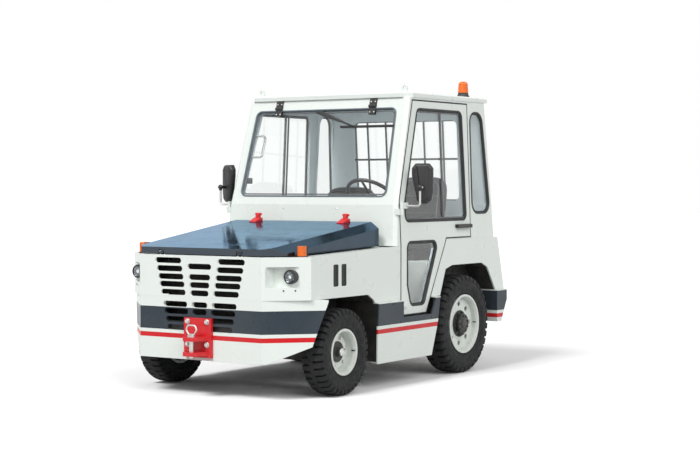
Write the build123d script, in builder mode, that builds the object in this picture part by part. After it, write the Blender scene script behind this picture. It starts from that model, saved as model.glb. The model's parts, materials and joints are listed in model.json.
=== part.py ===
"""Airport baggage tug: a two-seat towing tractor with a full cab.

Millimetres. +Z is up, the front looks along -Y, and +X is the vehicle's left side.
The origin is on the ground, at the middle of the whole outline.
"""
import os
from math import atan2, cos, degrees, pi, sin

from build123d import *

os.makedirs("parts", exist_ok=True)

# Overall lengths
BODY_LENGTH = 2885
FRONT_JAW_REACH = 130
REAR_JAW_REACH = 150
FACE_Y = FRONT_JAW_REACH - (FRONT_JAW_REACH + BODY_LENGTH + REAR_JAW_REACH) / 2

# Half widths of the body
FACE_HALF = 515
BODY_HALF = 757
SKIRT_HALF = 800
WING_HALF = 828
FAR = 1200

# Heights of the body
BUMPER_LOW = 246
WING_LOW = 354
SEAM_Z = 662
PANEL_TOP_FRONT = 946
BELT_Z = 985
LEDGE_Z = 600
SKIRT_LOW = 180
ROOF_LOW = 2050
ROOF_TOP = 2088

# Distances behind the front face
WING_BACK_LOW = 241
WING_BACK_HIGH = 322
PANEL_BEND = 220
DOOR_FRONT = 1335
COWL_FRONT = 1262

# Thicknesses
HEAVY_PLATE = 25
PLATE = 12
SHEET = 6
CAB_WALL = 44
GLASS = 6
FLANGE = 135
RETURN = 70
GAP = 6
SEAL_FIT = 0.4
PIN_FIT = 0.05

# Wheels
FRONT_AXLE = 575
REAR_AXLE = 2209
FRONT_RADIUS = 295
REAR_RADIUS = 370
FRONT_TYRE_WIDTH = 175
REAR_TYRE_WIDTH = 195
WHEEL_OUTER = 792
FRONT_RIM_RADIUS = 158
REAR_RIM_RADIUS = 222
KINGPIN_X = 590
KINGPIN_RADIUS = 20
KNUCKLE_HEIGHT = 96

SIDES = (("left", 1), ("right", -1))


def behind(distance):
    """Y of a place this far behind the front face."""
    return FACE_Y + distance


def side_points(points):
    """Side-view points, given as distance behind the face and height."""
    return [(behind(distance), height) for distance, height in points]


def save(builder, name):
    """Label a finished piece and write it."""
    builder.part.label = name
    export_step(builder.part, f"parts/{name}.step")


def side_prism(points, x_low, x_high, corner=0, corners=None):
    """A side-view outline, made solid from x_low to x_high, with some corners rounded."""
    with BuildPart() as prism:
        with BuildSketch(Plane.YZ.offset(x_low)) as outline:
            Polygon(*side_points(points), align=None)
            if corner:
                chosen = outline.vertices()
                if corners is not None:
                    places = [Vector(x_low, *place) for place in side_points([points[i] for i in corners])]
                    chosen = [v for v in chosen if any((Vector(v) - p).length < 1 for p in places)]
                fillet(chosen, corner)
        extrude(amount=x_high - x_low)
    return prism.part


def plan_wall(points, thickness, z_low, z_high):
    """An upright wall that follows plan points (x, distance), its thickness to the right of them."""
    with BuildPart() as wall:
        with BuildSketch(Plane.XY.offset(z_low)):
            with BuildLine():
                Polyline(*[(x, behind(distance)) for x, distance in points])
                offset(amount=thickness, side=Side.LEFT, kind=Kind.INTERSECTION)
            make_face()
        extrude(amount=z_high - z_low)
    return wall.part


def box_between(low, high):
    """A block from its low corner to its high corner."""
    with BuildPart() as block:
        with BuildSketch(Plane.XY.offset(low[2])):
            Polygon((low[0], low[1]), (high[0], low[1]), (high[0], high[1]), (low[0], high[1]), align=None)
        extrude(amount=high[2] - low[2])
    return block.part


def bar(start, end, radius):
    """A straight round bar between two points."""
    start, end = Vector(*start), Vector(*end)
    with BuildPart() as rod:
        with BuildSketch(Plane(origin=start, z_dir=end - start)):
            Circle(radius)
        extrude(amount=(end - start).length)
    return rod.part


# Front bumper: a heavy bent plate that wraps round to the wheel arches, slotted over the radiator
FRONT_PLAN = [(-WING_HALF, WING_BACK_HIGH - 4), (-FACE_HALF, 0), (FACE_HALF, 0), (WING_HALF, WING_BACK_HIGH - 4)]
PANEL_PLAN = [(-BODY_HALF, PANEL_BEND + RETURN), (-BODY_HALF, PANEL_BEND), (-FACE_HALF, 0), (FACE_HALF, 0),
              (BODY_HALF, PANEL_BEND), (BODY_HALF, PANEL_BEND + RETURN)]
SLOT_HEIGHT = 38
SLOT_TOP = 909
SLOT_LOW = 458
SLOT_INNER = (156, 78)
SLOT_OUTER = (380, 275)
UPPER_ROWS = (909, 854, 800, 749, 695)
LOWER_ROWS = (615, 567, 513, 458)
MIDDLE_UPPER = (872, 801, 748, 694)
MIDDLE_LOWER = (615, 567)
MIDDLE_TOP = 872
MIDDLE_HALF = (100, 60)


def between(pair, top, low, height):
    """A value that runs straight from its top one to its low one."""
    return pair[0] + (pair[1] - pair[0]) * (top - height) / (top - low)


def slot_sketch(side_rows, middle_rows):
    """The round-ended slots of some rows, narrowing towards the ground."""
    with BuildSketch(Plane.XZ.offset(-FACE_Y - 2 * HEAVY_PLATE)) as slots:
        for height in side_rows:
            inner = between(SLOT_INNER, SLOT_TOP, SLOT_LOW, height)
            outer = between(SLOT_OUTER, SLOT_TOP, SLOT_LOW, height)
            with Locations(((inner + outer) / 2, height), (-(inner + outer) / 2, height)):
                SlotOverall(outer - inner, SLOT_HEIGHT)
        for height in middle_rows:
            with Locations((0, height)):
                SlotOverall(2 * between(MIDDLE_HALF, MIDDLE_TOP, LOWER_ROWS[1], height), SLOT_HEIGHT)
    return slots.sketch


with BuildPart() as front_bumper:
    add(plan_wall(FRONT_PLAN, HEAVY_PLATE, BUMPER_LOW, SEAM_Z))
    add(plan_wall(FRONT_PLAN, FLANGE, SEAM_Z - PLATE, SEAM_Z))
    add(side_prism(
        [(-1, BUMPER_LOW), (HEAVY_PLATE, BUMPER_LOW), (WING_BACK_LOW, WING_LOW), (WING_BACK_HIGH, SEAM_Z),
         (-1, SEAM_Z)], -FAR, FAR), mode=Mode.INTERSECT)
    extrude(slot_sketch(LOWER_ROWS, MIDDLE_LOWER), amount=3 * HEAVY_PLATE, mode=Mode.SUBTRACT)
save(front_bumper, "front_bumper")

# Front panel: the upper nose with its grille slots and the two headlamp recesses
RECESS_LOW, RECESS_HIGH = 747, 882
RECESS_INNER = 534
RECESS_OUTER = 700
RECESS_DEPTH = 95
HINGE_X = 330
HOOD_PIVOT = 16
HOOD_PIVOT_Z = PANEL_TOP_FRONT + GAP + 10
HINGE_RADIUS = 4.5
HINGE_EYE = 8
EYE_WIDTH = 24
LUG = 8
chamfer_slope = PANEL_BEND / (BODY_HALF - FACE_HALF)
RECESS_FRONT = (RECESS_INNER - FACE_HALF) * chamfer_slope
RECESS_BACK = (RECESS_OUTER - FACE_HALF) * chamfer_slope


def recess_prism(grow, z_low, z_high):
    """The headlamp recess in plan, larger all round by grow."""
    with BuildPart() as hollow:
        with BuildSketch(Plane.XY.offset(z_low)):
            Polygon(
                (RECESS_INNER - grow, behind(RECESS_FRONT - 40)),
                (RECESS_OUTER + grow, behind(RECESS_BACK - 40)),
                (RECESS_OUTER + grow, behind(RECESS_BACK + grow)),
                (RECESS_INNER - grow, behind(RECESS_FRONT + RECESS_DEPTH + grow)),
                align=None)
        extrude(amount=z_high - z_low)
    return hollow.part


with BuildPart() as front_panel:
    add(plan_wall(PANEL_PLAN, PLATE, SEAM_Z, PANEL_TOP_FRONT))
    add(plan_wall(PANEL_PLAN, FLANGE, PANEL_TOP_FRONT - 2 * SHEET, PANEL_TOP_FRONT - SHEET))
    extrude(slot_sketch(UPPER_ROWS, MIDDLE_UPPER), amount=3 * HEAVY_PLATE, mode=Mode.SUBTRACT)
    add(recess_prism(SHEET, RECESS_LOW - SHEET, RECESS_HIGH + SHEET))
    with BuildSketch(Plane.XY.offset(SEAM_Z)):
        Polygon(
            (FACE_HALF, behind(-60)), (FACE_HALF, FACE_Y), (BODY_HALF, behind(PANEL_BEND)),
            (BODY_HALF + 60, behind(PANEL_BEND)), align=None)
    extrude(amount=PANEL_TOP_FRONT - SEAM_Z, mode=Mode.SUBTRACT)
    add(recess_prism(0, RECESS_LOW, RECESS_HIGH), mode=Mode.SUBTRACT)
    split(bisect_by=Plane.YZ, keep=Keep.TOP)
    for x in (HINGE_X - EYE_WIDTH / 2 - 2 - LUG, HINGE_X + EYE_WIDTH / 2 + 2):
        add(box_between((x, behind(PLATE + 1), PANEL_TOP_FRONT - SHEET),
                        (x + LUG, behind(PLATE + 17), HOOD_PIVOT_Z + HINGE_EYE)))
    add(bar((HINGE_X - EYE_WIDTH / 2 - LUG, behind(HOOD_PIVOT), HOOD_PIVOT_Z),
            (HINGE_X + EYE_WIDTH / 2 + LUG, behind(HOOD_PIVOT), HOOD_PIVOT_Z), HINGE_RADIUS))
    mirror(about=Plane.YZ)
save(front_panel, "front_panel")


# Side panels of the engine bay, each with its top flange, arch edge and two vent openings
PANEL_BACK = DOOR_FRONT - GAP
VENT_LOW, VENT_HIGH = 738, 886
VENT_STARTS = (479, 576)
VENT_WIDTH = 62
VENT_CORNER = 12
ARCH_BACK = 905
FLANGE_SLOPE = (BELT_Z - PANEL_TOP_FRONT) / (PANEL_BACK - PANEL_BEND)


def flange_top(distance):
    """Height of the flange that the hood closes over."""
    return PANEL_TOP_FRONT + FLANGE_SLOPE * max(0, distance - PANEL_BEND)


def vent_plan(grow):
    """Side-view rectangles of the two vents, each larger all round by grow."""
    return [[(start - grow, VENT_LOW - grow), (start + VENT_WIDTH + grow, VENT_LOW - grow),
             (start + VENT_WIDTH + grow, VENT_HIGH + grow), (start - grow, VENT_HIGH + grow)]
            for start in VENT_STARTS]


with BuildPart() as side_panels:
    add(side_prism(
        [(PANEL_BEND + RETURN, SEAM_Z), (ARCH_BACK, SEAM_Z), (978, 622), (993, LEDGE_Z), (PANEL_BACK, LEDGE_Z),
         (PANEL_BACK, BELT_Z), (PANEL_BEND + RETURN, flange_top(PANEL_BEND + RETURN))],
        BODY_HALF - PLATE, BODY_HALF, corner=32, corners=(1, 2)))
    add(side_prism(
        [(PANEL_BEND + RETURN, flange_top(PANEL_BEND + RETURN) - 2 * SHEET),
         (COWL_FRONT, flange_top(COWL_FRONT) - 2 * SHEET),
         (COWL_FRONT, flange_top(COWL_FRONT) - SHEET), (PANEL_BEND + RETURN, flange_top(PANEL_BEND + RETURN) - SHEET)],
        BODY_HALF - FLANGE, BODY_HALF))
    for vent in vent_plan(0):
        add(side_prism(vent, BODY_HALF - 2 * PLATE, BODY_HALF + PLATE, corner=VENT_CORNER), mode=Mode.SUBTRACT)
    mirror(about=Plane.YZ)
save(side_panels, "side_panels")

# Side vents: a black louvred insert in each opening
LOUVRE_COUNT = 9
LOUVRE_BAR = 7
with BuildPart() as side_vents:
    for vent in vent_plan(-SEAL_FIT):
        add(side_prism(vent, BODY_HALF - PLATE, BODY_HALF - 2, corner=VENT_CORNER - SEAL_FIT))
    pitch = (VENT_HIGH - VENT_LOW) / (LOUVRE_COUNT + 1)
    for row in range(LOUVRE_COUNT + 1):
        for start in VENT_STARTS:
            low = VENT_LOW + pitch * row + LOUVRE_BAR / 2 + 1
            add(side_prism(
                [(start + 8, low), (start + VENT_WIDTH - 8, low), (start + VENT_WIDTH - 8, low + pitch - LOUVRE_BAR),
                 (start + 8, low + pitch - LOUVRE_BAR)], BODY_HALF - 9, BODY_HALF), mode=Mode.SUBTRACT)
    mirror(about=Plane.YZ)
save(side_vents, "side_vents")

# Skirts: the heavy lower side plates between the wheels, notched below each door
DOOR_LOW = 490
DOOR_LOW_BACK = 1683
DOOR_STEP = (1978, 1024)
DOOR_BACK = 2348
HINGE_LINE_X = 770
HINGE_LINE = DOOR_FRONT - 9
HINGE_BARREL = 12
SILL_Z = 480
SKIRT_FRONT = 960
door_slope = (DOOR_STEP[0] - DOOR_LOW_BACK) / (DOOR_STEP[1] - DOOR_LOW)


def door_diagonal(height, clear):
    """Distance of the door's slanted lower rear edge at a height, plus a clearance."""
    return DOOR_LOW_BACK + door_slope * (height - DOOR_LOW) + clear


NOTCH_FRONT = HINGE_LINE - HINGE_BARREL - GAP - 2
NOTCH_BACK = door_diagonal(LEDGE_Z, 20)
SKIRT_TAIL = [(1692, SKIRT_LOW), (1781, 412), (1820, LEDGE_Z)]
with BuildPart() as skirts:
    add(side_prism(
        [(985, LEDGE_Z), (967, 439), (SKIRT_FRONT, SKIRT_LOW)] + SKIRT_TAIL + [
            (NOTCH_BACK, LEDGE_Z), (door_diagonal(SILL_Z, 20), SILL_Z), (NOTCH_FRONT, SILL_Z),
            (NOTCH_FRONT, LEDGE_Z)], SKIRT_HALF - PLATE, SKIRT_HALF))
    for start, end, top in ((993, NOTCH_FRONT, LEDGE_Z), (NOTCH_BACK, SKIRT_TAIL[2][0], LEDGE_Z),
                            (NOTCH_FRONT, door_diagonal(SILL_Z, 20), SILL_Z),
                            (SKIRT_FRONT, SKIRT_TAIL[0][0], SKIRT_LOW + PLATE)):
        add(box_between((BODY_HALF - PLATE, behind(start), top - SHEET), (SKIRT_HALF, behind(end), top)))
    mirror(about=Plane.YZ)
save(skirts, "skirts")

# Rear body: both rear fenders, the sloping rear panel and the deck strip behind the cab
DECK_Z = 1010
REAR_TOP = 2772
REAR_LOW = 2880
REAR_ARCH = [(1885, LEDGE_Z), (1966, 794), (2064, 819), (2517, 819), (2609, 782), (2741, LEDGE_Z)]
CAB_BACK_LOW = 2714
with BuildPart() as rear_body:
    add(side_prism(
        [(door_diagonal(LEDGE_Z, GAP + 2), LEDGE_Z)] + REAR_ARCH + [
            (REAR_LOW, LEDGE_Z), (REAR_TOP, DECK_Z), (door_diagonal(DECK_Z, GAP + 2), DECK_Z)],
        BODY_HALF - PLATE, BODY_HALF, corner=70, corners=(2, 3, 4, 5)))
    mirror(about=Plane.YZ)
    add(side_prism(
        [(REAR_LOW - PLATE, LEDGE_Z), (REAR_LOW, LEDGE_Z), (REAR_TOP, DECK_Z), (CAB_BACK_LOW, DECK_Z),
         (CAB_BACK_LOW, DECK_Z - PLATE), (REAR_TOP - PLATE - 3, DECK_Z - PLATE)],
        PLATE - BODY_HALF, BODY_HALF - PLATE))
save(rear_body, "rear_body")

# Rear bumper: a solid ballast beam across the tail
BUMPER_FRONT = 2690
BUMPER_CORNER = 34
BUMPER_TAIL = [(2763, WING_LOW), (2787, 405), (2857, 532), (BODY_LENGTH, 574)]
with BuildPart() as rear_bumper:
    add(side_prism([(BUMPER_FRONT, LEDGE_Z), (BUMPER_FRONT, WING_LOW)] + BUMPER_TAIL + [(BODY_LENGTH, LEDGE_Z)],
                   -SKIRT_HALF, SKIRT_HALF))
    with BuildSketch(Plane.XY.offset(WING_LOW)):
        for side in (1, -1):
            Polygon((side * SKIRT_HALF, behind(BODY_LENGTH)),
                    (side * SKIRT_HALF, behind(BODY_LENGTH - BUMPER_CORNER)),
                    (side * (SKIRT_HALF - BUMPER_CORNER), behind(BODY_LENGTH)), align=None)
    extrude(amount=LEDGE_Z - WING_LOW, mode=Mode.SUBTRACT)
save(rear_bumper, "rear_bumper")

# Wheel wells: folded sheet liners over each wheel, with an inner wall
WELL_INNER_FRONT = 430
WELL_INNER_REAR = 556
WELL_FRONT = 335
WELL_BACK = 985


def side_wall(points, thickness, x_low, x_high, side=Side.LEFT):
    """A folded sheet that follows side-view points, from x_low to x_high."""
    with BuildPart() as wall:
        with BuildSketch(Plane.YZ.offset(x_low)):
            with BuildLine():
                Polyline(*side_points(points))
                offset(amount=thickness, side=side, kind=Kind.INTERSECTION)
            make_face()
        extrude(amount=x_high - x_low)
    return wall.part


with BuildPart() as wheel_wells:
    add(side_wall([(WELL_FRONT, SEAM_Z), (ARCH_BACK, SEAM_Z), (WELL_BACK, LEDGE_Z + 6), (WELL_BACK, SKIRT_LOW + PLATE)],
                  SHEET, WELL_INNER_FRONT, BODY_HALF - PLATE))
    add(box_between((BODY_HALF - PLATE, behind(WELL_BACK), SKIRT_LOW + PLATE),
                    (SKIRT_HALF - PLATE, behind(WELL_BACK + SHEET), LEDGE_Z - SHEET)))
    add(side_prism([(WELL_FRONT, 560), (WELL_BACK, 560), (WELL_BACK, LEDGE_Z), (ARCH_BACK, SEAM_Z),
                    (WELL_FRONT, SEAM_Z)], WELL_INNER_FRONT, WELL_INNER_FRONT + SHEET))
    add(side_wall([(SKIRT_TAIL[1][0], SKIRT_TAIL[1][1] - 90), SKIRT_TAIL[1], (SKIRT_TAIL[2][0], LEDGE_Z - 2 * SHEET)]
                  + REAR_ARCH, SHEET, WELL_INNER_REAR, BODY_HALF - PLATE))
    add(side_prism(REAR_ARCH, WELL_INNER_REAR, WELL_INNER_REAR + SHEET))
    mirror(about=Plane.YZ)
save(wheel_wells, "wheel_wells")

# Chassis frame: two rails that rise over the rear axle
RAIL_INNER, RAIL_OUTER = 340, 400
RAIL_LOW, RAIL_TOP = 380, 500
RAIL_RISE = 80
RAIL_BEND = 1830
RAIL_RUN = 90
FLOOR_LOW = RAIL_TOP
CROSS_FRONT = 26
CROSS_LOW = 262
CROSS_THICK = 34
CROSS_REAR = 60
OUTRIGGERS = ((1010, 1060), (1630, 1680))
RAIL_SIDE = [(HEAVY_PLATE, RAIL_LOW), (RAIL_BEND, RAIL_LOW), (RAIL_BEND + RAIL_RUN, RAIL_LOW + RAIL_RISE),
             (BUMPER_FRONT, RAIL_LOW + RAIL_RISE), (BUMPER_FRONT, RAIL_TOP + RAIL_RISE),
             (RAIL_BEND + RAIL_RUN, RAIL_TOP + RAIL_RISE), (RAIL_BEND, RAIL_TOP), (HEAVY_PLATE, RAIL_TOP)]
with BuildPart() as chassis_frame:
    add(side_prism(RAIL_SIDE, RAIL_INNER, RAIL_OUTER))
    mirror(about=Plane.YZ)
save(chassis_frame, "chassis_frame")

# Cross members: the nose beam, two pairs of outriggers and the tail beam, welded between and outside the rails
with BuildPart() as cross_members:
    add(box_between((-RAIL_INNER, behind(CROSS_FRONT), CROSS_LOW),
                    (RAIL_INNER, behind(CROSS_FRONT + CROSS_THICK), RAIL_TOP)))
    for start, end in OUTRIGGERS:
        add(box_between((PLATE - SKIRT_HALF, behind(start), RAIL_LOW + 20),
                        (SKIRT_HALF - PLATE, behind(end), SILL_Z - SHEET)))
    add(box_between((-WELL_INNER_REAR, behind(BUMPER_FRONT - CROSS_REAR), RAIL_LOW + RAIL_RISE),
                    (WELL_INNER_REAR, behind(BUMPER_FRONT), RAIL_TOP + RAIL_RISE)))
    add(chassis_frame.part, mode=Mode.SUBTRACT)
save(cross_members, "cross_members")

# Cab floor: bulkhead, footwell floor, riser and the deck that carries the seats
FLOOR_PLATE = 8
DECK_TOP = 852
RISER = 1775
FLOOR_HALF = BODY_HALF - CAB_WALL - GAP - 1
BULKHEAD = COWL_FRONT + CAB_WALL + 2
DECK_BACK = CAB_BACK_LOW - CAB_WALL - 4
with BuildPart() as cab_floor:
    add(side_prism(
        [(BULKHEAD, BELT_Z - 5), (BULKHEAD, FLOOR_LOW), (RISER, FLOOR_LOW), (RISER, DECK_TOP - FLOOR_PLATE),
         (DECK_BACK, DECK_TOP - FLOOR_PLATE), (DECK_BACK, DECK_TOP), (RISER - FLOOR_PLATE, DECK_TOP),
         (RISER - FLOOR_PLATE, FLOOR_LOW + FLOOR_PLATE), (BULKHEAD + FLOOR_PLATE, FLOOR_LOW + FLOOR_PLATE),
         (BULKHEAD + FLOOR_PLATE, BELT_Z - 5)], -FLOOR_HALF, FLOOR_HALF))
save(cab_floor, "cab_floor")

# Cab shell: raked windscreen, sloping sides and rear wall, hollow inside
CAB_PROFILE = [(COWL_FRONT, BELT_Z), (1290, 1272), (1514, ROOF_LOW), (2632, ROOF_LOW), (CAB_BACK_LOW, BELT_Z)]
COWL_TOP = CAB_PROFILE[1][1]
SIDE_LEAN = 50 / 1097
CAB_LOW_HALF = BODY_HALF
CAB_TOP_HALF = CAB_LOW_HALF - SIDE_LEAN * (ROOF_LOW - BELT_Z)
POST_CORNER = 24
rake = atan2(CAB_PROFILE[2][0] - CAB_PROFILE[1][0], ROOF_LOW - COWL_TOP)
back_lean = atan2(CAB_BACK_LOW - CAB_PROFILE[3][0], ROOF_LOW - BELT_Z)
screen_plane = Plane(origin=(0, behind(CAB_PROFILE[1][0]), COWL_TOP), x_dir=(1, 0, 0), z_dir=(0, -cos(rake), sin(rake)))
back_plane = Plane(origin=(0, behind(CAB_BACK_LOW), BELT_Z), x_dir=(-1, 0, 0), z_dir=(0, cos(back_lean), sin(back_lean)))


def front_prism(points, y_low, y_high):
    """A front-view outline (x, z), made solid between two distances behind the face."""
    with BuildPart() as prism:
        with BuildSketch(Plane.XZ.offset(-behind(y_high))):
            Polygon(*points, align=None)
        extrude(amount=y_high - y_low)
    return prism.part


def side_slab(outer, inner, z_low, z_high):
    """The left side wall between two depths below the cab's leaning side plane."""
    def edge(height, depth):
        return CAB_LOW_HALF - SIDE_LEAN * max(0, height - BELT_Z) - depth
    return front_prism(
        [(edge(z_low, outer), z_low), (edge(BELT_Z, outer), BELT_Z), (edge(z_high, outer), z_high),
         (edge(z_high, inner), z_high), (edge(BELT_Z, inner), BELT_Z), (edge(z_low, inner), z_low)],
        -FAR, BODY_LENGTH + FAR)


def pane(plane, corners, radius, outer, thickness, grow=0):
    """A round-cornered pane on a plane, starting at a depth below it."""
    with BuildPart() as sheet:
        with BuildSketch(plane.offset(-outer)):
            with BuildSketch(mode=Mode.PRIVATE) as outline:
                Polygon(*corners, align=None)
                fillet(outline.vertices(), radius)
                if grow:
                    offset(amount=grow)
            add(outline.sketch)
        extrude(amount=-thickness)
    return sheet.part


# Window and door outlines: windscreen and rear window on their planes, the others in side view
SCREEN = [(-648, 66), (648, 66), (622, 728), (-622, 728)]
BACK_GLASS = [(-480, 311), (480, 311), (480, 944), (-480, 944)]
QUARTER = [(2386, 1205), (2660, 1205), (2582, 1967), (2402, 1967)]
DOOR_TOP = 2030
DOOR_KNEE = 1310
DOOR_TOP_FRONT = 1566
DOOR = [(DOOR_FRONT, DOOR_LOW), (DOOR_LOW_BACK, DOOR_LOW), DOOR_STEP, (DOOR_BACK, DOOR_STEP[1]),
        (DOOR_BACK + 14, DOOR_TOP), (DOOR_TOP_FRONT, DOOR_TOP), (DOOR_FRONT, DOOR_KNEE)]
DOOR_UPPER = [(1410, 1158), (2285, 1158), (2270, 1966), (1630, 1966), (1410, 1290)]
DOOR_LOWER = [(1425, 1006), (1852, 1006), (1650, 556), (1472, 556), (1425, 700)]
DOOR_CORNER = 14
WINDOW_CORNER = 46
QUARTER_CORNER = 80


def side_outline(points, grow, radius=0):
    """A side-view outline through the left side wall, larger all round by grow."""
    with BuildPart() as prism:
        with BuildSketch(Plane.YZ.offset(CAB_TOP_HALF - 3 * CAB_WALL)):
            with BuildSketch(mode=Mode.PRIVATE) as outline:
                Polygon(*side_points(points), align=None)
                if radius:
                    fillet(outline.vertices(), radius)
                if grow:
                    offset(amount=grow, kind=Kind.ARC if radius else Kind.INTERSECTION)
            add(outline.sketch)
        extrude(amount=FAR)
    return prism.part


with BuildPart() as cab_shell:
    add(side_prism(CAB_PROFILE, -FAR, FAR))
    add(front_prism([(-CAB_LOW_HALF, BELT_Z), (CAB_LOW_HALF, BELT_Z), (CAB_TOP_HALF, ROOF_LOW),
                     (-CAB_TOP_HALF, ROOF_LOW)], -FAR, BODY_LENGTH + FAR), mode=Mode.INTERSECT)
    front_posts = cab_shell.edges().filter_by(
        lambda e: abs(e.center().X) > CAB_TOP_HALF - 5 and e.center().Y < behind(DOOR_TOP_FRONT)
        and abs(e.tangent_at(0.5).Z) > 0.8)
    chamfer(front_posts, POST_CORNER)
    with BuildPart(mode=Mode.PRIVATE) as hollow:
        add(side_prism(
            [(COWL_FRONT + CAB_WALL, BELT_Z - 1), (CAB_PROFILE[1][0] + CAB_WALL, COWL_TOP),
             (CAB_PROFILE[2][0] + CAB_WALL, ROOF_LOW + 1), (CAB_PROFILE[3][0] - CAB_WALL, ROOF_LOW + 1),
             (CAB_BACK_LOW - CAB_WALL, BELT_Z - 1)], -FAR, FAR))
        add(front_prism(
            [(CAB_WALL - CAB_LOW_HALF, BELT_Z - 1), (CAB_LOW_HALF - CAB_WALL, BELT_Z - 1),
             (CAB_TOP_HALF - CAB_WALL, ROOF_LOW + 1), (CAB_WALL - CAB_TOP_HALF, ROOF_LOW + 1)],
            -FAR, BODY_LENGTH + FAR), mode=Mode.INTERSECT)
    add(hollow.part, mode=Mode.SUBTRACT)
    add(pane(screen_plane, SCREEN, WINDOW_CORNER, -10, 3 * CAB_WALL), mode=Mode.SUBTRACT)
    add(pane(back_plane, BACK_GLASS, WINDOW_CORNER, -10, 3 * CAB_WALL), mode=Mode.SUBTRACT)
    for cut in (side_outline(DOOR, GAP), side_outline(QUARTER, 0, QUARTER_CORNER),
                box_between((-FAR, behind(DOOR_LOW_BACK), BELT_Z - 1), (FAR, behind(BODY_LENGTH), DECK_Z))):
        add(cut, mode=Mode.SUBTRACT)
        add(mirror(cut, about=Plane.YZ), mode=Mode.SUBTRACT)
cowl_zone = box_between((-FAR, behind(0), 0), (FAR, behind(DOOR_FRONT), COWL_TOP))

# Cowl: the lower front of the cab, below the windscreen
with BuildPart() as cowl:
    add(cab_shell.part)
    add(cowl_zone, mode=Mode.INTERSECT)
save(cowl, "cowl")

# Cab frame: posts, rails and rear wall above the cowl
with BuildPart() as cab_frame:
    add(cab_shell.part)
    add(cowl_zone, mode=Mode.SUBTRACT)
save(cab_frame, "cab_frame")

# Fixed glass: the windscreen, the rear window and both rear quarters
GLASS_DEPTH = 14
with BuildPart() as cab_glass:
    add(side_outline(QUARTER, -SEAL_FIT, QUARTER_CORNER))
    add(side_slab(GLASS_DEPTH, GLASS_DEPTH + GLASS, BELT_Z - 10, ROOF_LOW), mode=Mode.INTERSECT)
    mirror(about=Plane.YZ)
    add(pane(screen_plane, SCREEN, WINDOW_CORNER, GLASS_DEPTH, GLASS, -SEAL_FIT))
    add(pane(back_plane, BACK_GLASS, WINDOW_CORNER, GLASS_DEPTH, GLASS, -SEAL_FIT))
save(cab_glass, "cab_glass")

# Rear guard: upright bars with one cross bar, inside the rear window
GUARD_BARS = (-349, -175, 0, 175, 349)
GUARD_RADIUS = 8
GUARD_DEPTH = 32
GUARD_RAIL = 640
with BuildPart() as rear_guard:
    for x in GUARD_BARS:
        add(bar(back_plane.from_local_coords((x, BACK_GLASS[0][1], -GUARD_DEPTH)),
                back_plane.from_local_coords((x, BACK_GLASS[2][1], -GUARD_DEPTH)), GUARD_RADIUS))
    add(bar(back_plane.from_local_coords((BACK_GLASS[0][0], GUARD_RAIL, -GUARD_DEPTH)),
            back_plane.from_local_coords((BACK_GLASS[1][0], GUARD_RAIL, -GUARD_DEPTH)), GUARD_RADIUS))
save(rear_guard, "rear_guard")

# Roof: one flat panel with clipped front corners, bevelled rim and two lifting eyes
ROOF_PLAN = [(660, 1500), (714, 1573), (714, 2672)]
ROOF_BEVEL = 9
EYE_X = 640
EYE_BACK = 1566
EYE_PLATE = 12
EYE_HEIGHT = 56
EYE_HALF = 24
EYE_RADIUS = 11
with BuildPart() as roof:
    with BuildSketch(Plane.XY.offset(ROOF_LOW)):
        Polygon(*[(x, behind(d)) for x, d in ROOF_PLAN], *[(-x, behind(d)) for x, d in reversed(ROOF_PLAN)], align=None)
    extrude(amount=ROOF_TOP - ROOF_LOW)
    chamfer(roof.faces().sort_by(Axis.Z)[-1].edges(), ROOF_BEVEL)
    with BuildSketch(Plane.XZ.offset(-behind(EYE_BACK + EYE_PLATE))):
        for x in (EYE_X, -EYE_X):
            with Locations((x, ROOF_TOP + EYE_HEIGHT - EYE_HALF)):
                Circle(EYE_HALF)
            with Locations((x, ROOF_TOP + (EYE_HEIGHT - EYE_HALF) / 2)):
                Rectangle(2 * EYE_HALF, EYE_HEIGHT - EYE_HALF)
            with Locations((x, ROOF_TOP + EYE_HEIGHT - EYE_HALF)):
                Circle(EYE_RADIUS, mode=Mode.SUBTRACT)
    extrude(amount=EYE_PLATE)
save(roof, "roof")

# Hood: a wedge shell with clipped front corners and bevelled long edges, hinged at its front
HOOD_FRONT = 8
HOOD_BACK = 1200
HOOD_PLAN = [(512, HOOD_FRONT), (620, 145), (656, HOOD_BACK)]
HOOD_FRONT_TOP = 997
HOOD_BACK_TOP = 1156
HOOD_SHEET = 8
HOOD_LOW = PANEL_TOP_FRONT + GAP
HOOD_EDGE = (46, 64)
NOTCH_TOP = HOOD_PIVOT_Z + 19


def hood_solid(inset):
    """The hood's wedge, drawn in by the sheet thickness on every face but the open bottom."""
    with BuildPart() as wedge:
        with BuildSketch(Plane.XY.offset(HOOD_LOW - 20)) as plan:
            Polygon(*[(x, behind(d)) for x, d in HOOD_PLAN],
                    *[(-x, behind(d)) for x, d in reversed(HOOD_PLAN)], align=None)
            if inset:
                offset(amount=-inset, kind=Kind.INTERSECTION)
        extrude(amount=HOOD_BACK_TOP)
        add(side_prism(
            [(HOOD_FRONT, HOOD_LOW - (20 if inset else 0)),
             (PANEL_BEND, HOOD_LOW - (20 if inset else 0)),
             (HOOD_BACK, flange_top(HOOD_BACK) + GAP - (20 if inset else 0)),
             (HOOD_BACK, HOOD_BACK_TOP - inset), (HOOD_FRONT, HOOD_FRONT_TOP - inset)],
            -FAR, FAR), mode=Mode.INTERSECT)
        long_edges = wedge.edges().filter_by(
            lambda e: e.center().Z > HOOD_FRONT_TOP and abs(e.center().X) > HOOD_PLAN[1][0] - 2 * inset
            and e.length > HOOD_BACK / 2)
        chamfer(long_edges, *HOOD_EDGE)
    return wedge.part


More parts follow.
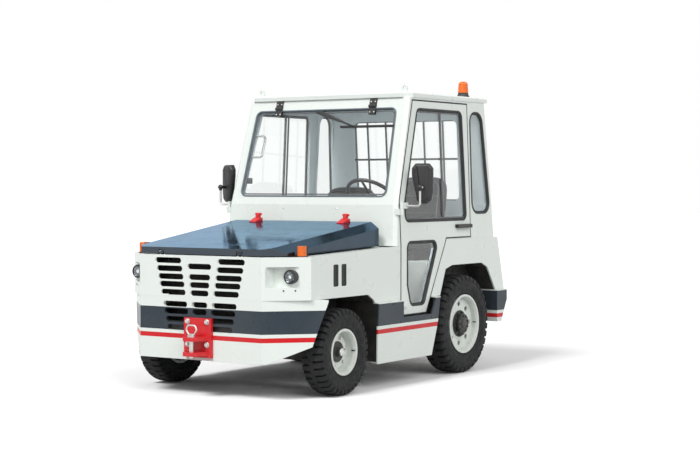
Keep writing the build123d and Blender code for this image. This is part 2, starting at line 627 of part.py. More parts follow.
with BuildPart() as hood:
    add(hood_solid(0))
    add(hood_solid(HOOD_SHEET), mode=Mode.SUBTRACT)
    for x in (HINGE_X, -HINGE_X):
        left, right = x - EYE_WIDTH / 2, x + EYE_WIDTH / 2
        notch = EYE_WIDTH / 2 + LUG + 7
        add(box_between((x - notch, behind(0), HOOD_LOW - 1), (x + notch, behind(HOOD_FRONT + HOOD_SHEET), NOTCH_TOP)),
            mode=Mode.SUBTRACT)
        add(bar((left, behind(HOOD_PIVOT), HOOD_PIVOT_Z), (right, behind(HOOD_PIVOT), HOOD_PIVOT_Z), HINGE_EYE))
        add(box_between((left, behind(HOOD_PIVOT), HOOD_PIVOT_Z),
                        (right, behind(HOOD_PIVOT + HINGE_EYE), NOTCH_TOP + 6)))
        add(box_between((left, behind(HOOD_FRONT), NOTCH_TOP), (right, behind(HOOD_PIVOT), NOTCH_TOP + 6)))
        add(bar((left, behind(HOOD_PIVOT), HOOD_PIVOT_Z), (right, behind(HOOD_PIVOT), HOOD_PIVOT_Z),
                HINGE_RADIUS + PIN_FIT), mode=Mode.SUBTRACT)
save(hood, "hood")

# Hood catches: two red pull handles at the hood's rear edge
CATCH_X = 388
CATCH_SIZE = (62, 46, 30)
hood_slope = (HOOD_BACK_TOP - HOOD_FRONT_TOP) / (HOOD_BACK - HOOD_FRONT)
with BuildPart() as hood_catches:
    for x in (CATCH_X, -CATCH_X):
        add(box_between((x - CATCH_SIZE[0] / 2, behind(HOOD_BACK - CATCH_SIZE[1] - 4), HOOD_BACK_TOP - 30),
                        (x + CATCH_SIZE[0] / 2, behind(HOOD_BACK - 4), HOOD_BACK_TOP + CATCH_SIZE[2])))
    add(side_prism([(0, HOOD_FRONT_TOP - 100), (0, HOOD_FRONT_TOP - hood_slope * HOOD_FRONT),
                    (HOOD_BACK, HOOD_BACK_TOP), (HOOD_BACK, HOOD_FRONT_TOP - 100)], -FAR, FAR), mode=Mode.SUBTRACT)
    fillet(hood_catches.edges().filter_by(Axis.Z), 12)
save(hood_catches, "hood_catches")

# Door hinges on the body: a lower and an upper block per side, each with an upright pin
HINGE_PIN = 7
HINGE_TALL = 44
HINGE_GAP = 1
LOWER_HINGE, UPPER_HINGE = 506, 1204
HINGE_ARM = 34
# Each block: low z, inner x, outer x
HINGE_BLOCKS = ((LOWER_HINGE, HINGE_LINE_X - HINGE_BARREL, SKIRT_HALF - PLATE),
                (UPPER_HINGE, CAB_TOP_HALF, HINGE_LINE_X))
with BuildPart() as door_hinges:
    for low, inner, outer in HINGE_BLOCKS:
        add(box_between((inner, behind(HINGE_LINE - HINGE_ARM), low), (outer, behind(HINGE_LINE - 6), low + HINGE_TALL)))
        add(bar((HINGE_LINE_X, behind(HINGE_LINE), low), (HINGE_LINE_X, behind(HINGE_LINE), low + HINGE_TALL),
                HINGE_BARREL))
    add(cab_shell.part, mode=Mode.SUBTRACT)
    for low, inner, outer in HINGE_BLOCKS:
        add(bar((HINGE_LINE_X, behind(HINGE_LINE), low),
                (HINGE_LINE_X, behind(HINGE_LINE), low + 2 * HINGE_TALL - 6), HINGE_PIN))
    mirror(about=Plane.YZ)
save(door_hinges, "door_hinges")

# Doors: each a framed panel with two window openings, its hinge leaves, glass and long handle
DOOR_GLASS_DEPTH = 16
HANDLE = (2118, 2330, 1094, 1122)
HANDLE_REACH = 30
for side_name, side in SIDES:
    with BuildPart() as door:
        add(side_outline(DOOR, 0, DOOR_CORNER))
        add(side_slab(0, CAB_WALL, DOOR_LOW - 5, ROOF_LOW), mode=Mode.INTERSECT)
        for window, corner in ((DOOR_UPPER, WINDOW_CORNER), (DOOR_LOWER, WINDOW_CORNER)):
            add(side_outline(window, 0, corner), mode=Mode.SUBTRACT)
        for low, inner, outer in HINGE_BLOCKS:
            leaf = low + HINGE_TALL + HINGE_GAP
            top = low + 2 * HINGE_TALL
            add(bar((HINGE_LINE_X, behind(HINGE_LINE), leaf), (HINGE_LINE_X, behind(HINGE_LINE), top), HINGE_BARREL))
            add(box_between((CAB_LOW_HALF - CAB_WALL / 2, behind(HINGE_LINE + HINGE_BARREL), leaf),
                            (HINGE_LINE_X + HINGE_BARREL, behind(HINGE_LINE + 2 * HINGE_ARM), top)))
            add(box_between((HINGE_LINE_X - 4, behind(HINGE_LINE), leaf),
                            (HINGE_LINE_X + HINGE_BARREL, behind(HINGE_LINE + HINGE_ARM), top)))
            add(bar((HINGE_LINE_X, behind(HINGE_LINE), leaf - 1), (HINGE_LINE_X, behind(HINGE_LINE), top + 1),
                    HINGE_PIN + PIN_FIT), mode=Mode.SUBTRACT)
        if side < 0:
            mirror(about=Plane.YZ, mode=Mode.REPLACE)
    save(door, f"door_{side_name}")
    with BuildPart() as door_glass:
        for window in (DOOR_UPPER, DOOR_LOWER):
            add(side_outline(window, -SEAL_FIT, WINDOW_CORNER))
        add(side_slab(DOOR_GLASS_DEPTH, DOOR_GLASS_DEPTH + GLASS, DOOR_LOW, ROOF_LOW), mode=Mode.INTERSECT)
        if side < 0:
            mirror(about=Plane.YZ, mode=Mode.REPLACE)
    save(door_glass, f"door_glass_{side_name}")
    with BuildPart() as door_handle:
        add(side_prism([(HANDLE[0], HANDLE[2]), (HANDLE[1], HANDLE[2]), (HANDLE[1], HANDLE[3]),
                        (HANDLE[0], HANDLE[3])], CAB_TOP_HALF, CAB_LOW_HALF + HANDLE_REACH))
        add(side_slab(-HANDLE_REACH, 0, BELT_Z, ROOF_LOW), mode=Mode.INTERSECT)
        fillet(door_handle.edges().filter_by(Axis.X), 8)
        if side < 0:
            mirror(about=Plane.YZ, mode=Mode.REPLACE)
    save(door_handle, f"door_handle_{side_name}")

# Front axle: a beam with a forked end at each kingpin
AXLE_HALF_DEPTH = 42
BOSS_RADIUS = 34
BOSS_GAP = 2
EAR = 20
EAR_REACH = 30
boss_low = FRONT_RADIUS - KNUCKLE_HEIGHT / 2
boss_high = FRONT_RADIUS + KNUCKLE_HEIGHT / 2
ear_low = boss_low - BOSS_GAP - EAR
ear_high = boss_high + BOSS_GAP + EAR
with BuildPart() as front_axle:
    add(box_between((-KINGPIN_X + BOSS_RADIUS + 16, behind(FRONT_AXLE - AXLE_HALF_DEPTH), ear_low),
                    (KINGPIN_X - BOSS_RADIUS - 16, behind(FRONT_AXLE + AXLE_HALF_DEPTH), ear_high)))
    for side in (1, -1):
        for low in (ear_low, ear_high - EAR):
            add(bar((side * KINGPIN_X, behind(FRONT_AXLE), low), (side * KINGPIN_X, behind(FRONT_AXLE), low + EAR),
                    EAR_REACH))
            x_ends = sorted((side * KINGPIN_X, side * (KINGPIN_X - BOSS_RADIUS - 20)))
            add(box_between((x_ends[0], behind(FRONT_AXLE - EAR_REACH), low),
                            (x_ends[1], behind(FRONT_AXLE + EAR_REACH), low + EAR)))
        add(bar((side * KINGPIN_X, behind(FRONT_AXLE), ear_low - 1), (side * KINGPIN_X, behind(FRONT_AXLE), ear_high + 1),
                KINGPIN_RADIUS + PIN_FIT), mode=Mode.SUBTRACT)
    for side in (1, -1):
        ends = sorted((side * RAIL_INNER, side * RAIL_OUTER))
        add(box_between((ends[0], behind(FRONT_AXLE - 55), ear_high - 1), (ends[1], behind(FRONT_AXLE + 55), RAIL_LOW)))
save(front_axle, "front_axle")

# Knuckles: kingpin, boss, stub axle and a steering arm that points back to the track rod
SPINDLE_RADIUS = 24
ARM_LENGTH = 150
ARM_HALF = 14
ARM_LOW, ARM_HIGH = 262, 282
ROD_PIN = 8
ROD_EYE = 18
ROD_LOW, ROD_HIGH = 240, 260
ROD_RADIUS = 9
HUB_IN, HUB_OUT = -38, 52
front_centre = WHEEL_OUTER - FRONT_TYRE_WIDTH / 2
rear_centre = WHEEL_OUTER - REAR_TYRE_WIDTH / 2
rod_y = behind(FRONT_AXLE + ARM_LENGTH)
for side_name, side in SIDES:
    with BuildPart() as knuckle:
        add(bar((KINGPIN_X, behind(FRONT_AXLE), boss_low), (KINGPIN_X, behind(FRONT_AXLE), boss_high), BOSS_RADIUS))
        add(bar((KINGPIN_X, behind(FRONT_AXLE), ear_low - 6), (KINGPIN_X, behind(FRONT_AXLE), ear_high + 6),
                KINGPIN_RADIUS))
        add(bar((KINGPIN_X, behind(FRONT_AXLE), FRONT_RADIUS),
                (front_centre + HUB_OUT - 4, behind(FRONT_AXLE), FRONT_RADIUS), SPINDLE_RADIUS))
        add(box_between((KINGPIN_X - ARM_HALF, behind(FRONT_AXLE), ARM_LOW), (KINGPIN_X + ARM_HALF, rod_y, ARM_HIGH)))
        add(bar((KINGPIN_X, rod_y, ARM_LOW), (KINGPIN_X, rod_y, ARM_HIGH), ARM_HALF))
        add(bar((KINGPIN_X, rod_y, ROD_LOW), (KINGPIN_X, rod_y, ARM_LOW), ROD_PIN))
        if side < 0:
            mirror(about=Plane.YZ, mode=Mode.REPLACE)
    save(knuckle, f"knuckle_{side_name}")

# Track rod: one bar between the two steering arms
rod_middle = (ROD_LOW + ROD_HIGH) / 2
with BuildPart() as track_rod:
    add(bar((-KINGPIN_X, rod_y, rod_middle), (KINGPIN_X, rod_y, rod_middle), ROD_RADIUS))
    for side in (1, -1):
        add(bar((side * KINGPIN_X, rod_y, ROD_LOW), (side * KINGPIN_X, rod_y, ROD_HIGH), ROD_EYE))
        add(bar((side * KINGPIN_X, rod_y, ROD_LOW - 1), (side * KINGPIN_X, rod_y, ROD_HIGH + 1), ROD_PIN + PIN_FIT),
            mode=Mode.SUBTRACT)
save(track_rod, "track_rod")

# Rear axle: housing, differential bulge, spindles and the pads below the rails
TUBE_RADIUS = 55
DIFF_RADIUS = 120
REAR_SPINDLE = 40
REAR_HUB_IN, REAR_HUB_OUT = -70, 60
rear_y = behind(REAR_AXLE)
with BuildPart() as rear_axle:
    tube_half = rear_centre + REAR_HUB_IN - 4
    spindle_half = rear_centre + REAR_HUB_OUT - 4
    add(bar((-tube_half, rear_y, REAR_RADIUS), (tube_half, rear_y, REAR_RADIUS), TUBE_RADIUS))
    add(bar((-spindle_half, rear_y, REAR_RADIUS), (spindle_half, rear_y, REAR_RADIUS), REAR_SPINDLE))
    with Locations((0, rear_y, REAR_RADIUS)):
        Sphere(DIFF_RADIUS)
    for side in (1, -1):
        ends = sorted((side * RAIL_INNER, side * RAIL_OUTER))
        add(box_between((ends[0], rear_y - 60, REAR_RADIUS), (ends[1], rear_y + 60, RAIL_LOW + RAIL_RISE)))
save(rear_axle, "rear_axle")


def ring(centre, side, points):
    """A profile of (outward, radius) points turned about a wheel's axle."""
    middle = Vector(side * centre[0], centre[1], centre[2])
    with BuildPart() as turned:
        with BuildSketch(Plane(origin=middle, x_dir=(side, 0, 0), z_dir=(0, -side, 0))):
            Polygon(*points, align=None)
        revolve(axis=Axis(middle, (1, 0, 0)))
    return turned.part


BEAD_FIT = 0.3
WELL_STEP = 14
FLANGE_WIDTH = 8
# Wheels: name, axle distance, radius, tyre width, rim radius, disc offset, hub hole radius
WHEELS = (
    ("front", FRONT_AXLE, FRONT_RADIUS, FRONT_TYRE_WIDTH, FRONT_RIM_RADIUS, 4, 60),
    ("rear", REAR_AXLE, REAR_RADIUS, REAR_TYRE_WIDTH, REAR_RIM_RADIUS, 26, 84),
)
for end, axle, radius, width, rim, disc, hole in WHEELS:
    half = width / 2
    seat = rim - FLANGE_WIDTH
    centre = (WHEEL_OUTER - half, behind(axle), radius)
    spindle = SPINDLE_RADIUS if end == "front" else REAR_SPINDLE
    hub_in, hub_out = (HUB_IN, HUB_OUT) if end == "front" else (REAR_HUB_IN, REAR_HUB_OUT)
    cap = hole - (14 if end == "front" else 6)
    for side_name, side in SIDES:
        with BuildPart() as tyre:
            add(ring(centre, side, [
                (19 - half, seat + BEAD_FIT), (17 - half, rim + 2), (6 - half, rim + 8), (-half, rim + 40),
                (-half, radius - 34), (14 - half, radius), (half - 14, radius), (half, radius - 34),
                (half, rim + 40), (half - 6, rim + 8), (half - 17, rim + 2), (half - 19, seat + BEAD_FIT)]))
        save(tyre, f"tyre_{end}_{side_name}")
        with BuildPart() as wheel_rim:
            add(ring(centre, side, [
                (8 - half, rim), (8 - half, seat - WELL_STEP), (disc, seat - WELL_STEP), (disc, hole),
                (disc + PLATE, hole), (disc + PLATE, seat - WELL_STEP), (half - 8, seat - WELL_STEP), (half - 8, rim),
                (half - 16, rim), (half - 18, seat), (18 - half, seat), (16 - half, rim)]))
            add(ring(centre, side, [
                (hub_in, spindle + PIN_FIT), (hub_in, spindle + 22), (disc - PLATE, spindle + 22),
                (disc - PLATE, hole + 18), (disc, hole + 18), (disc, cap), (hub_out, cap - 8), (hub_out + 14, cap - 22),
                (hub_out + 14, 0), (hub_out, 0), (hub_out, spindle + PIN_FIT)]))
        save(wheel_rim, f"rim_{end}_{side_name}")

# Engine: one plain block between the rails, on two cross feet
ENGINE_HALF = 300
ENGINE_FRONT, ENGINE_BACK = 280, 1000
ENGINE_LOW, ENGINE_TOP = 400, 880
ENGINE_FEET = (420, 900)
FOOT_LENGTH = 70
FOOT_LOW, FOOT_HIGH = 420, 480
with BuildPart() as engine_block:
    add(box_between((-ENGINE_HALF, behind(ENGINE_FRONT), ENGINE_LOW), (ENGINE_HALF, behind(ENGINE_BACK), ENGINE_TOP)))
    for start in ENGINE_FEET:
        add(box_between((-RAIL_INNER, behind(start), FOOT_LOW), (RAIL_INNER, behind(start + FOOT_LENGTH), FOOT_HIGH)))
save(engine_block, "engine_block")

# Radiator: the core behind the grille, with its side tanks, standing on the rails
RADIATOR_HALF = 385
RADIATOR_FRONT = FLANGE + 20
RADIATOR_TOP = 905
CORE_DEPTH = 70
TANK_WIDTH = 46
TANK_PROUD = 14
with BuildPart() as radiator:
    add(box_between((-RADIATOR_HALF, behind(RADIATOR_FRONT), RAIL_TOP),
                    (RADIATOR_HALF, behind(RADIATOR_FRONT + CORE_DEPTH), RADIATOR_TOP)))
    for x in (-RADIATOR_HALF, RADIATOR_HALF - TANK_WIDTH):
        add(box_between((x, behind(RADIATOR_FRONT - TANK_PROUD), RAIL_TOP),
                        (x + TANK_WIDTH, behind(RADIATOR_FRONT + CORE_DEPTH + TANK_PROUD), RADIATOR_TOP)))
save(radiator, "radiator")

# Towing jaws: a bolted back plate with two jaw plates, drilled for the upright tow pin
JAW_BACK_HALF = 115
JAW_BACK_PLATE = 22
JAW_PLATE = 26
JAW_ROOT_HALF, JAW_HALF, JAW_TIP_HALF = 88, 62, 36
JAW_CORNER = 30
PIN_IN = 46
PIN_RADIUS = 16
PIN_PLAY = 1
FRONT_BACK_PLATE = [(0, 267), (0, 530), (-JAW_BACK_PLATE, 530), (-JAW_BACK_PLATE, 267)]
REAR_BACK_PLATE = BUMPER_TAIL[1:] + [(BODY_LENGTH, LEDGE_Z - 12), (BODY_LENGTH + JAW_BACK_PLATE, LEDGE_Z - 12),
                                     (BODY_LENGTH + JAW_BACK_PLATE, BUMPER_TAIL[1][1])]
# Jaws: name, face distance, outward sign, back plate outline, jaw plate undersides, reach
JAWS = (
    ("front_jaw", 0, -1, FRONT_BACK_PLATE, (282, 382), FRONT_JAW_REACH),
    ("rear_jaw", BODY_LENGTH, 1, REAR_BACK_PLATE, (430, 546), REAR_JAW_REACH),
)
for name, face, outward, back_plate, undersides, reach in JAWS:
    jaw_plan = [(JAW_ROOT_HALF, JAW_BACK_PLATE), (JAW_HALF, reach - JAW_CORNER), (JAW_TIP_HALF, reach)]
    jaw_plan += [(-x, out) for x, out in reversed(jaw_plan)]
    with BuildPart() as jaw:
        add(side_prism(back_plate, -JAW_BACK_HALF, JAW_BACK_HALF))
        for underside in undersides:
            with BuildSketch(Plane.XY.offset(underside)):
                Polygon(*[(x, behind(face + outward * out)) for x, out in jaw_plan], align=None)
            extrude(amount=JAW_PLATE)
        pin_y = behind(face + outward * (reach - PIN_IN))
        add(bar((0, pin_y, undersides[0] - 1), (0, pin_y, undersides[1] + JAW_PLATE + 1), PIN_RADIUS + PIN_PLAY),
            mode=Mode.SUBTRACT)
    save(jaw, name)

# Tow pins: a shank, a collar that rests on the upper jaw plate, and a loop handle
PIN_BELOW = 14
COLLAR_WIDE, COLLAR_TALL = 12, 12
LOOP_TURNS = [(22, 4), (44, 36), (30, 66)]
LOOP_CORNER = 14
LOOP_WIRE = 6
with BuildPart() as tow_pins:
    for name, face, outward, back_plate, undersides, reach in JAWS:
        pin_y = behind(face + outward * (reach - PIN_IN))
        jaw_top = undersides[1] + JAW_PLATE
        add(bar((0, pin_y, undersides[0] - PIN_BELOW), (0, pin_y, jaw_top + COLLAR_TALL), PIN_RADIUS))
        add(bar((0, pin_y, jaw_top), (0, pin_y, jaw_top + COLLAR_TALL), PIN_RADIUS + COLLAR_WIDE))
        loop = LOOP_TURNS + [(-x, z) for x, z in reversed(LOOP_TURNS)]
        with BuildPart(mode=Mode.PRIVATE) as handle:
            with BuildLine() as loop_line:
                FilletPolyline(*[(x, pin_y, jaw_top + COLLAR_TALL + z) for x, z in loop],
                               radius=LOOP_CORNER, close=True)
            with BuildSketch(Plane(loop_line.line @ 0, z_dir=loop_line.line % 0)):
                Circle(LOOP_WIRE)
            sweep(path=loop_line.line)
        add(handle.part)
save(tow_pins, "tow_pins")

# Headlamps: a forward-facing drum with a dished front, seated on each recess's back wall
LAMP_X, LAMP_Z, LAMP_RADIUS = 650, 817, 46
LAMP_FRONT = 128
LAMP_RIM = 8
with BuildPart() as headlamps:
    add(bar((LAMP_X, behind(LAMP_FRONT), LAMP_Z), (LAMP_X, behind(RECESS_BACK), LAMP_Z), LAMP_RADIUS))
    add(bar((LAMP_X, behind(LAMP_FRONT - 1), LAMP_Z), (LAMP_X, behind(LAMP_FRONT + LAMP_RIM), LAMP_Z),
            LAMP_RADIUS - LAMP_RIM), mode=Mode.SUBTRACT)
    add(recess_prism(0, RECESS_LOW, RECESS_HIGH), mode=Mode.INTERSECT)
    mirror(about=Plane.YZ)
save(headlamps, "headlamps")

# Indicators on the ledge beside the hood
INDICATOR_X = (655, 700)
INDICATOR_Y = (198, 268)
INDICATOR_TALL = 78
INDICATOR_CORNER = 12
with BuildPart() as indicators:
    add(box_between((INDICATOR_X[0], behind(INDICATOR_Y[0]), PANEL_TOP_FRONT - SHEET),
                    (INDICATOR_X[1], behind(INDICATOR_Y[1]), PANEL_TOP_FRONT - SHEET + INDICATOR_TALL)))
    fillet(indicators.edges().filter_by(Axis.Z), INDICATOR_CORNER)
    mirror(about=Plane.YZ)
save(indicators, "indicators")

# Tail lamps on the sloping rear panel
TAIL_LAMP_X = (560, 720)
TAIL_LAMP_Z = (650, 730)
LAMP_PROUD = 22
with BuildPart() as tail_lamps:
    add(side_prism([(REAR_TOP, DECK_Z), (REAR_LOW, LEDGE_Z), (REAR_LOW + LAMP_PROUD, LEDGE_Z),
                    (REAR_TOP + LAMP_PROUD, DECK_Z)], *TAIL_LAMP_X))
    add(box_between((0, behind(0), TAIL_LAMP_Z[0]), (FAR, behind(BODY_LENGTH + FAR), TAIL_LAMP_Z[1])),
        mode=Mode.INTERSECT)
    mirror(about=Plane.YZ)
save(tail_lamps, "tail_lamps")

# Beacon: a black foot and an amber dome on the roof, turned about an upright line
BEACON_X, BEACON_BACK = 622, 2462
BEACON_RADIUS = 42
BEACON_TALL = 124
BEACON_FOOT = 34
with BuildPart() as beacon:
    with BuildSketch(Plane(origin=(BEACON_X, behind(BEACON_BACK), ROOF_TOP), x_dir=(1, 0, 0), z_dir=(0, -1, 0))):
        Polygon((0, 0), (BEACON_RADIUS + 8, 0), (BEACON_RADIUS + 8, 10), (BEACON_RADIUS - 6, BEACON_FOOT),
                (BEACON_RADIUS, BEACON_FOOT + 4), (BEACON_RADIUS - 6, BEACON_TALL - 14),
                (BEACON_RADIUS - 22, BEACON_TALL), (0, BEACON_TALL), align=None)
    revolve(axis=Axis((BEACON_X, behind(BEACON_BACK), 0), (0, 0, 1)))
save(beacon, "beacon")

# Mirrors: an L arm from each door's upper hinge leaf, a ball clamp and a tapered, toed-in housing
ARM_X, ARM_BACK = 891, 1373
ARM_Z = 1268
ARM_RADIUS = 8
ARM_BEND = 24
BALL_RADIUS = 20
BALL_Z = 1400
MIRROR_X, MIRROR_BACK, MIRROR_Z = 868, 1445, 1427
MIRROR_DEPTH = 46
MIRROR_TOE = 25
MIRROR_OUTLINE = [(77, -60), (77, 110), (50, 144), (-50, 144), (-77, 110), (-77, 60), (-40, -120), (-16, -144),
                  (36, -144), (66, -120)]
MIRROR_EDGE = 14
toe = MIRROR_TOE * pi / 180
mirror_plane = Plane(origin=(MIRROR_X - MIRROR_DEPTH / 2 * sin(toe), behind(MIRROR_BACK) + MIRROR_DEPTH / 2 * cos(toe),
                             MIRROR_Z), x_dir=(cos(toe), sin(toe), 0), z_dir=(sin(toe), -cos(toe), 0))
for side_name, side in SIDES:
    with BuildPart() as mirror_head:
        with BuildSketch(mirror_plane):
            Polygon(*MIRROR_OUTLINE, align=None)
        extrude(amount=MIRROR_DEPTH)
        front_face = mirror_head.faces().sort_by(Axis(mirror_plane.origin, mirror_plane.z_dir))[-1]
        fillet(front_face.edges(), MIRROR_EDGE)
        with BuildPart(mode=Mode.PRIVATE) as arm:
            with BuildLine() as arm_line:
                FilletPolyline((HINGE_LINE_X + HINGE_BARREL, behind(ARM_BACK), ARM_Z), (ARM_X, behind(ARM_BACK), ARM_Z),
                               (ARM_X, behind(ARM_BACK), BALL_Z), radius=ARM_BEND)
            with BuildSketch(Plane(arm_line.line @ 0, z_dir=arm_line.line % 0)):
                Circle(ARM_RADIUS)
            sweep(path=arm_line.line)
        add(arm.part)
        with Locations((ARM_X, behind(ARM_BACK), BALL_Z)):
            Sphere(BALL_RADIUS)
        add(bar((ARM_X, behind(ARM_BACK), BALL_Z), (ARM_X, behind(MIRROR_BACK), BALL_Z), BALL_RADIUS / 2))
        if side < 0:
            mirror(about=Plane.YZ, mode=Mode.REPLACE)
    save(mirror_head, f"mirror_{side_name}")

# Windscreen fittings: two hinge straps over the top edge, and the wiper with its arm and blade
STRAP_X = 419
STRAP_HALF = 30
STRAP_LENGTH = 120
STRAP_UP = 745
STRAP_THICK = 9
STRAP_PIN = 11
WIPER_PIVOT = (-43, 706)
WIPER_END = (280, 594)
WIPER_PROUD = 10
BLADE = (162, 620)
BLADE_HIGH = 12
screen_top = SCREEN[2][1]
with BuildPart() as screen_fittings:
    for x in (STRAP_X, -STRAP_X):
        with BuildSketch(screen_plane):
            with Locations((x, STRAP_UP)):
                Rectangle(2 * STRAP_HALF, STRAP_LENGTH)
        extrude(amount=STRAP_THICK)
        add(bar(screen_plane.from_local_coords((x - STRAP_HALF, STRAP_UP, STRAP_THICK)),
                screen_plane.from_local_coords((x + STRAP_HALF, STRAP_UP, STRAP_THICK)), STRAP_PIN))
    add(side_prism([(0, 0), (0, ROOF_LOW), (BODY_LENGTH, ROOF_LOW), (BODY_LENGTH, 0)], -FAR, FAR), mode=Mode.INTERSECT)
    add(cab_shell.part, mode=Mode.SUBTRACT)
    with BuildSketch(screen_plane.offset(-GLASS_DEPTH)):
        for x in (STRAP_X, -STRAP_X):
            with Locations((x, screen_top - 24)):
                Rectangle(2 * STRAP_HALF - 8, 36)
    extrude(amount=GLASS_DEPTH)
    add(bar(screen_plane.from_local_coords((*WIPER_PIVOT, -GLASS_DEPTH)),
            screen_plane.from_local_coords((*WIPER_PIVOT, WIPER_PROUD + 6)), 13))
    add(bar(screen_plane.from_local_coords((*WIPER_PIVOT, WIPER_PROUD)),
            screen_plane.from_local_coords((*WIPER_END, WIPER_PROUD)), 5))
    with BuildSketch(screen_plane.offset(SEAL_FIT - GLASS_DEPTH)):
        with Locations(((BLADE[0] + BLADE[1]) / 2, WIPER_END[1])):
            Rectangle(BLADE[1] - BLADE[0], BLADE_HIGH)
    extrude(amount=GLASS_DEPTH + WIPER_PROUD)
save(screen_fittings, "screen_fittings")

# Dashboard below the windscreen, seated on the cowl's inner wall
DASH_HALF = 640
DASH_FRONT = COWL_FRONT + CAB_WALL + 4
DASH = [(DASH_FRONT, 1080), (DASH_FRONT, 1262), (1400, 1262), (1520, 1200), (1520, 1130), (1450, 1080)]
DASH_ROUND = 24
with BuildPart() as dashboard:
    add(side_prism(DASH, -DASH_HALF, DASH_HALF, corner=DASH_ROUND, corners=(3, 4, 5)))
    add(cab_shell.part, mode=Mode.SUBTRACT)
save(dashboard, "dashboard")

# Steering wheel: a round rim, three spokes, a boss and a leaning column into the dashboard
STEER_X, STEER_BACK, STEER_Z = 330, 1620, 1330
STEER_RADIUS = 190
STEER_WIRE = 14
STEER_LEAN = 40
SPOKES = (-90, 30, 150)
SPOKE_RADIUS = 9
BOSS_WIDE, BOSS_TALL = 42, 54
COLUMN_RADIUS = 24
COLUMN_LENGTH = 190
lean = STEER_LEAN * pi / 180
steer_plane = Plane(origin=(STEER_X, behind(STEER_BACK), STEER_Z), x_dir=(1, 0, 0), z_dir=(0, sin(lean), cos(lean)))
rim_plane = Plane(origin=steer_plane.from_local_coords((STEER_RADIUS, 0, 0)), x_dir=steer_plane.x_dir,
                  z_dir=steer_plane.y_dir)
with BuildPart() as steering_wheel:
    with BuildSketch(rim_plane):
        Circle(STEER_WIRE)
    revolve(axis=Axis(steer_plane.origin, steer_plane.z_dir))
    boss_floor = steer_plane.from_local_coords((0, 0, SPOKE_RADIUS - BOSS_TALL))
    for turn in SPOKES:
        reach = (STEER_RADIUS * cos(turn * pi / 180), STEER_RADIUS * sin(turn * pi / 180), 0)
        add(bar(steer_plane.from_local_coords((0, 0, -SPOKE_RADIUS)), steer_plane.from_local_coords(reach),
                SPOKE_RADIUS))
    add(bar(boss_floor, steer_plane.from_local_coords((0, 0, SPOKE_RADIUS)), BOSS_WIDE))
    add(bar(steer_plane.from_local_coords((0, 0, -COLUMN_LENGTH)), boss_floor, COLUMN_RADIUS))
    add(dashboard.part, mode=Mode.SUBTRACT)
save(steering_wheel, "steering_wheel")

# Seats: a base on the deck, a cushion and a backrest for the driver and for one passenger
SEAT_X = 330
SEAT_HALF = 235
SEAT_FRONT = 1850
SEAT_LENGTH = 470
CUSHION_LOW, CUSHION_TOP = 930, 1040
BASE_IN = 40
BACK_THICK = 100
BACK_IN = 20
BACK_LEAN = 80
SOFT_GAP = 0.3
CUSHION_ROUND = 50
BACK_ROUND = 90
# Seats: centre X, top of the backrest
SEATS = ((SEAT_X, 1480), (-SEAT_X, 1400))
with BuildPart() as seat_bases:
    for x, top in SEATS:
        add(box_between((x - SEAT_HALF + BASE_IN, behind(SEAT_FRONT + BASE_IN), DECK_TOP),
                        (x + SEAT_HALF - BASE_IN, behind(SEAT_FRONT + SEAT_LENGTH - BASE_IN), CUSHION_LOW)))
save(seat_bases, "seat_bases")
with BuildPart() as seats:
    for x, top in SEATS:
        with BuildSketch(Plane.XY.offset(CUSHION_LOW + SOFT_GAP)):
            with Locations((x, behind(SEAT_FRONT + SEAT_LENGTH / 2))):
                RectangleRounded(2 * SEAT_HALF, SEAT_LENGTH, CUSHION_ROUND)
        extrude(amount=CUSHION_TOP - CUSHION_LOW - SOFT_GAP)
    for x, top in SEATS:
        seat_back = SEAT_FRONT + SEAT_LENGTH
        with BuildPart(mode=Mode.PRIVATE) as backrest:
            add(side_prism([(seat_back - BACK_THICK, CUSHION_TOP + SOFT_GAP), (seat_back, CUSHION_TOP + SOFT_GAP),
                            (seat_back + BACK_LEAN, top), (seat_back + BACK_LEAN - BACK_THICK, top)],
                           x - SEAT_HALF + BACK_IN, x + SEAT_HALF - BACK_IN))
            tops = backrest.edges().filter_by(lambda e: abs(e.center().Z - top) < 1 and e.length < 1.5 * BACK_THICK)
            fillet(tops, BACK_ROUND)
        add(backrest.part)
save(seats, "seats")
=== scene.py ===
"""Looks of an airport baggage tug, fitted round its packed construction.

Metres, in the construction's own frame: +X is the vehicle's left side, -Y its front, +Z up.
"""
import json
from math import atan2, cos, pi, radians, sin

import bmesh
import bpy
import numpy as np
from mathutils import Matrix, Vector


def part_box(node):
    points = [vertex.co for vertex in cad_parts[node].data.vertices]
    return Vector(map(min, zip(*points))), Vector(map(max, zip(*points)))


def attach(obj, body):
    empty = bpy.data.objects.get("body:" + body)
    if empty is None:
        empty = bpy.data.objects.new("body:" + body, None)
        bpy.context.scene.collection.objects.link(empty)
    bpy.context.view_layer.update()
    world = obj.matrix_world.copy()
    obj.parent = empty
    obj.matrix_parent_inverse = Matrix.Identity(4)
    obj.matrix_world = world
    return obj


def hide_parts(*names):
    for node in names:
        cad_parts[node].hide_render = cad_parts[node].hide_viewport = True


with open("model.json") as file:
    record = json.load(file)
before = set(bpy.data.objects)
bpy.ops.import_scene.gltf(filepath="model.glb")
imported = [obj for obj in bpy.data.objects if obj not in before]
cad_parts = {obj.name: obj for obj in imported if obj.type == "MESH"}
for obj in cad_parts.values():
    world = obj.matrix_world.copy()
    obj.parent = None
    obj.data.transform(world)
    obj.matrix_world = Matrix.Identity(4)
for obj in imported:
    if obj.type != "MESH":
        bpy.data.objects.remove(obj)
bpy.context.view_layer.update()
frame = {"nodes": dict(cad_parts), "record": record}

nodes = frame["nodes"]

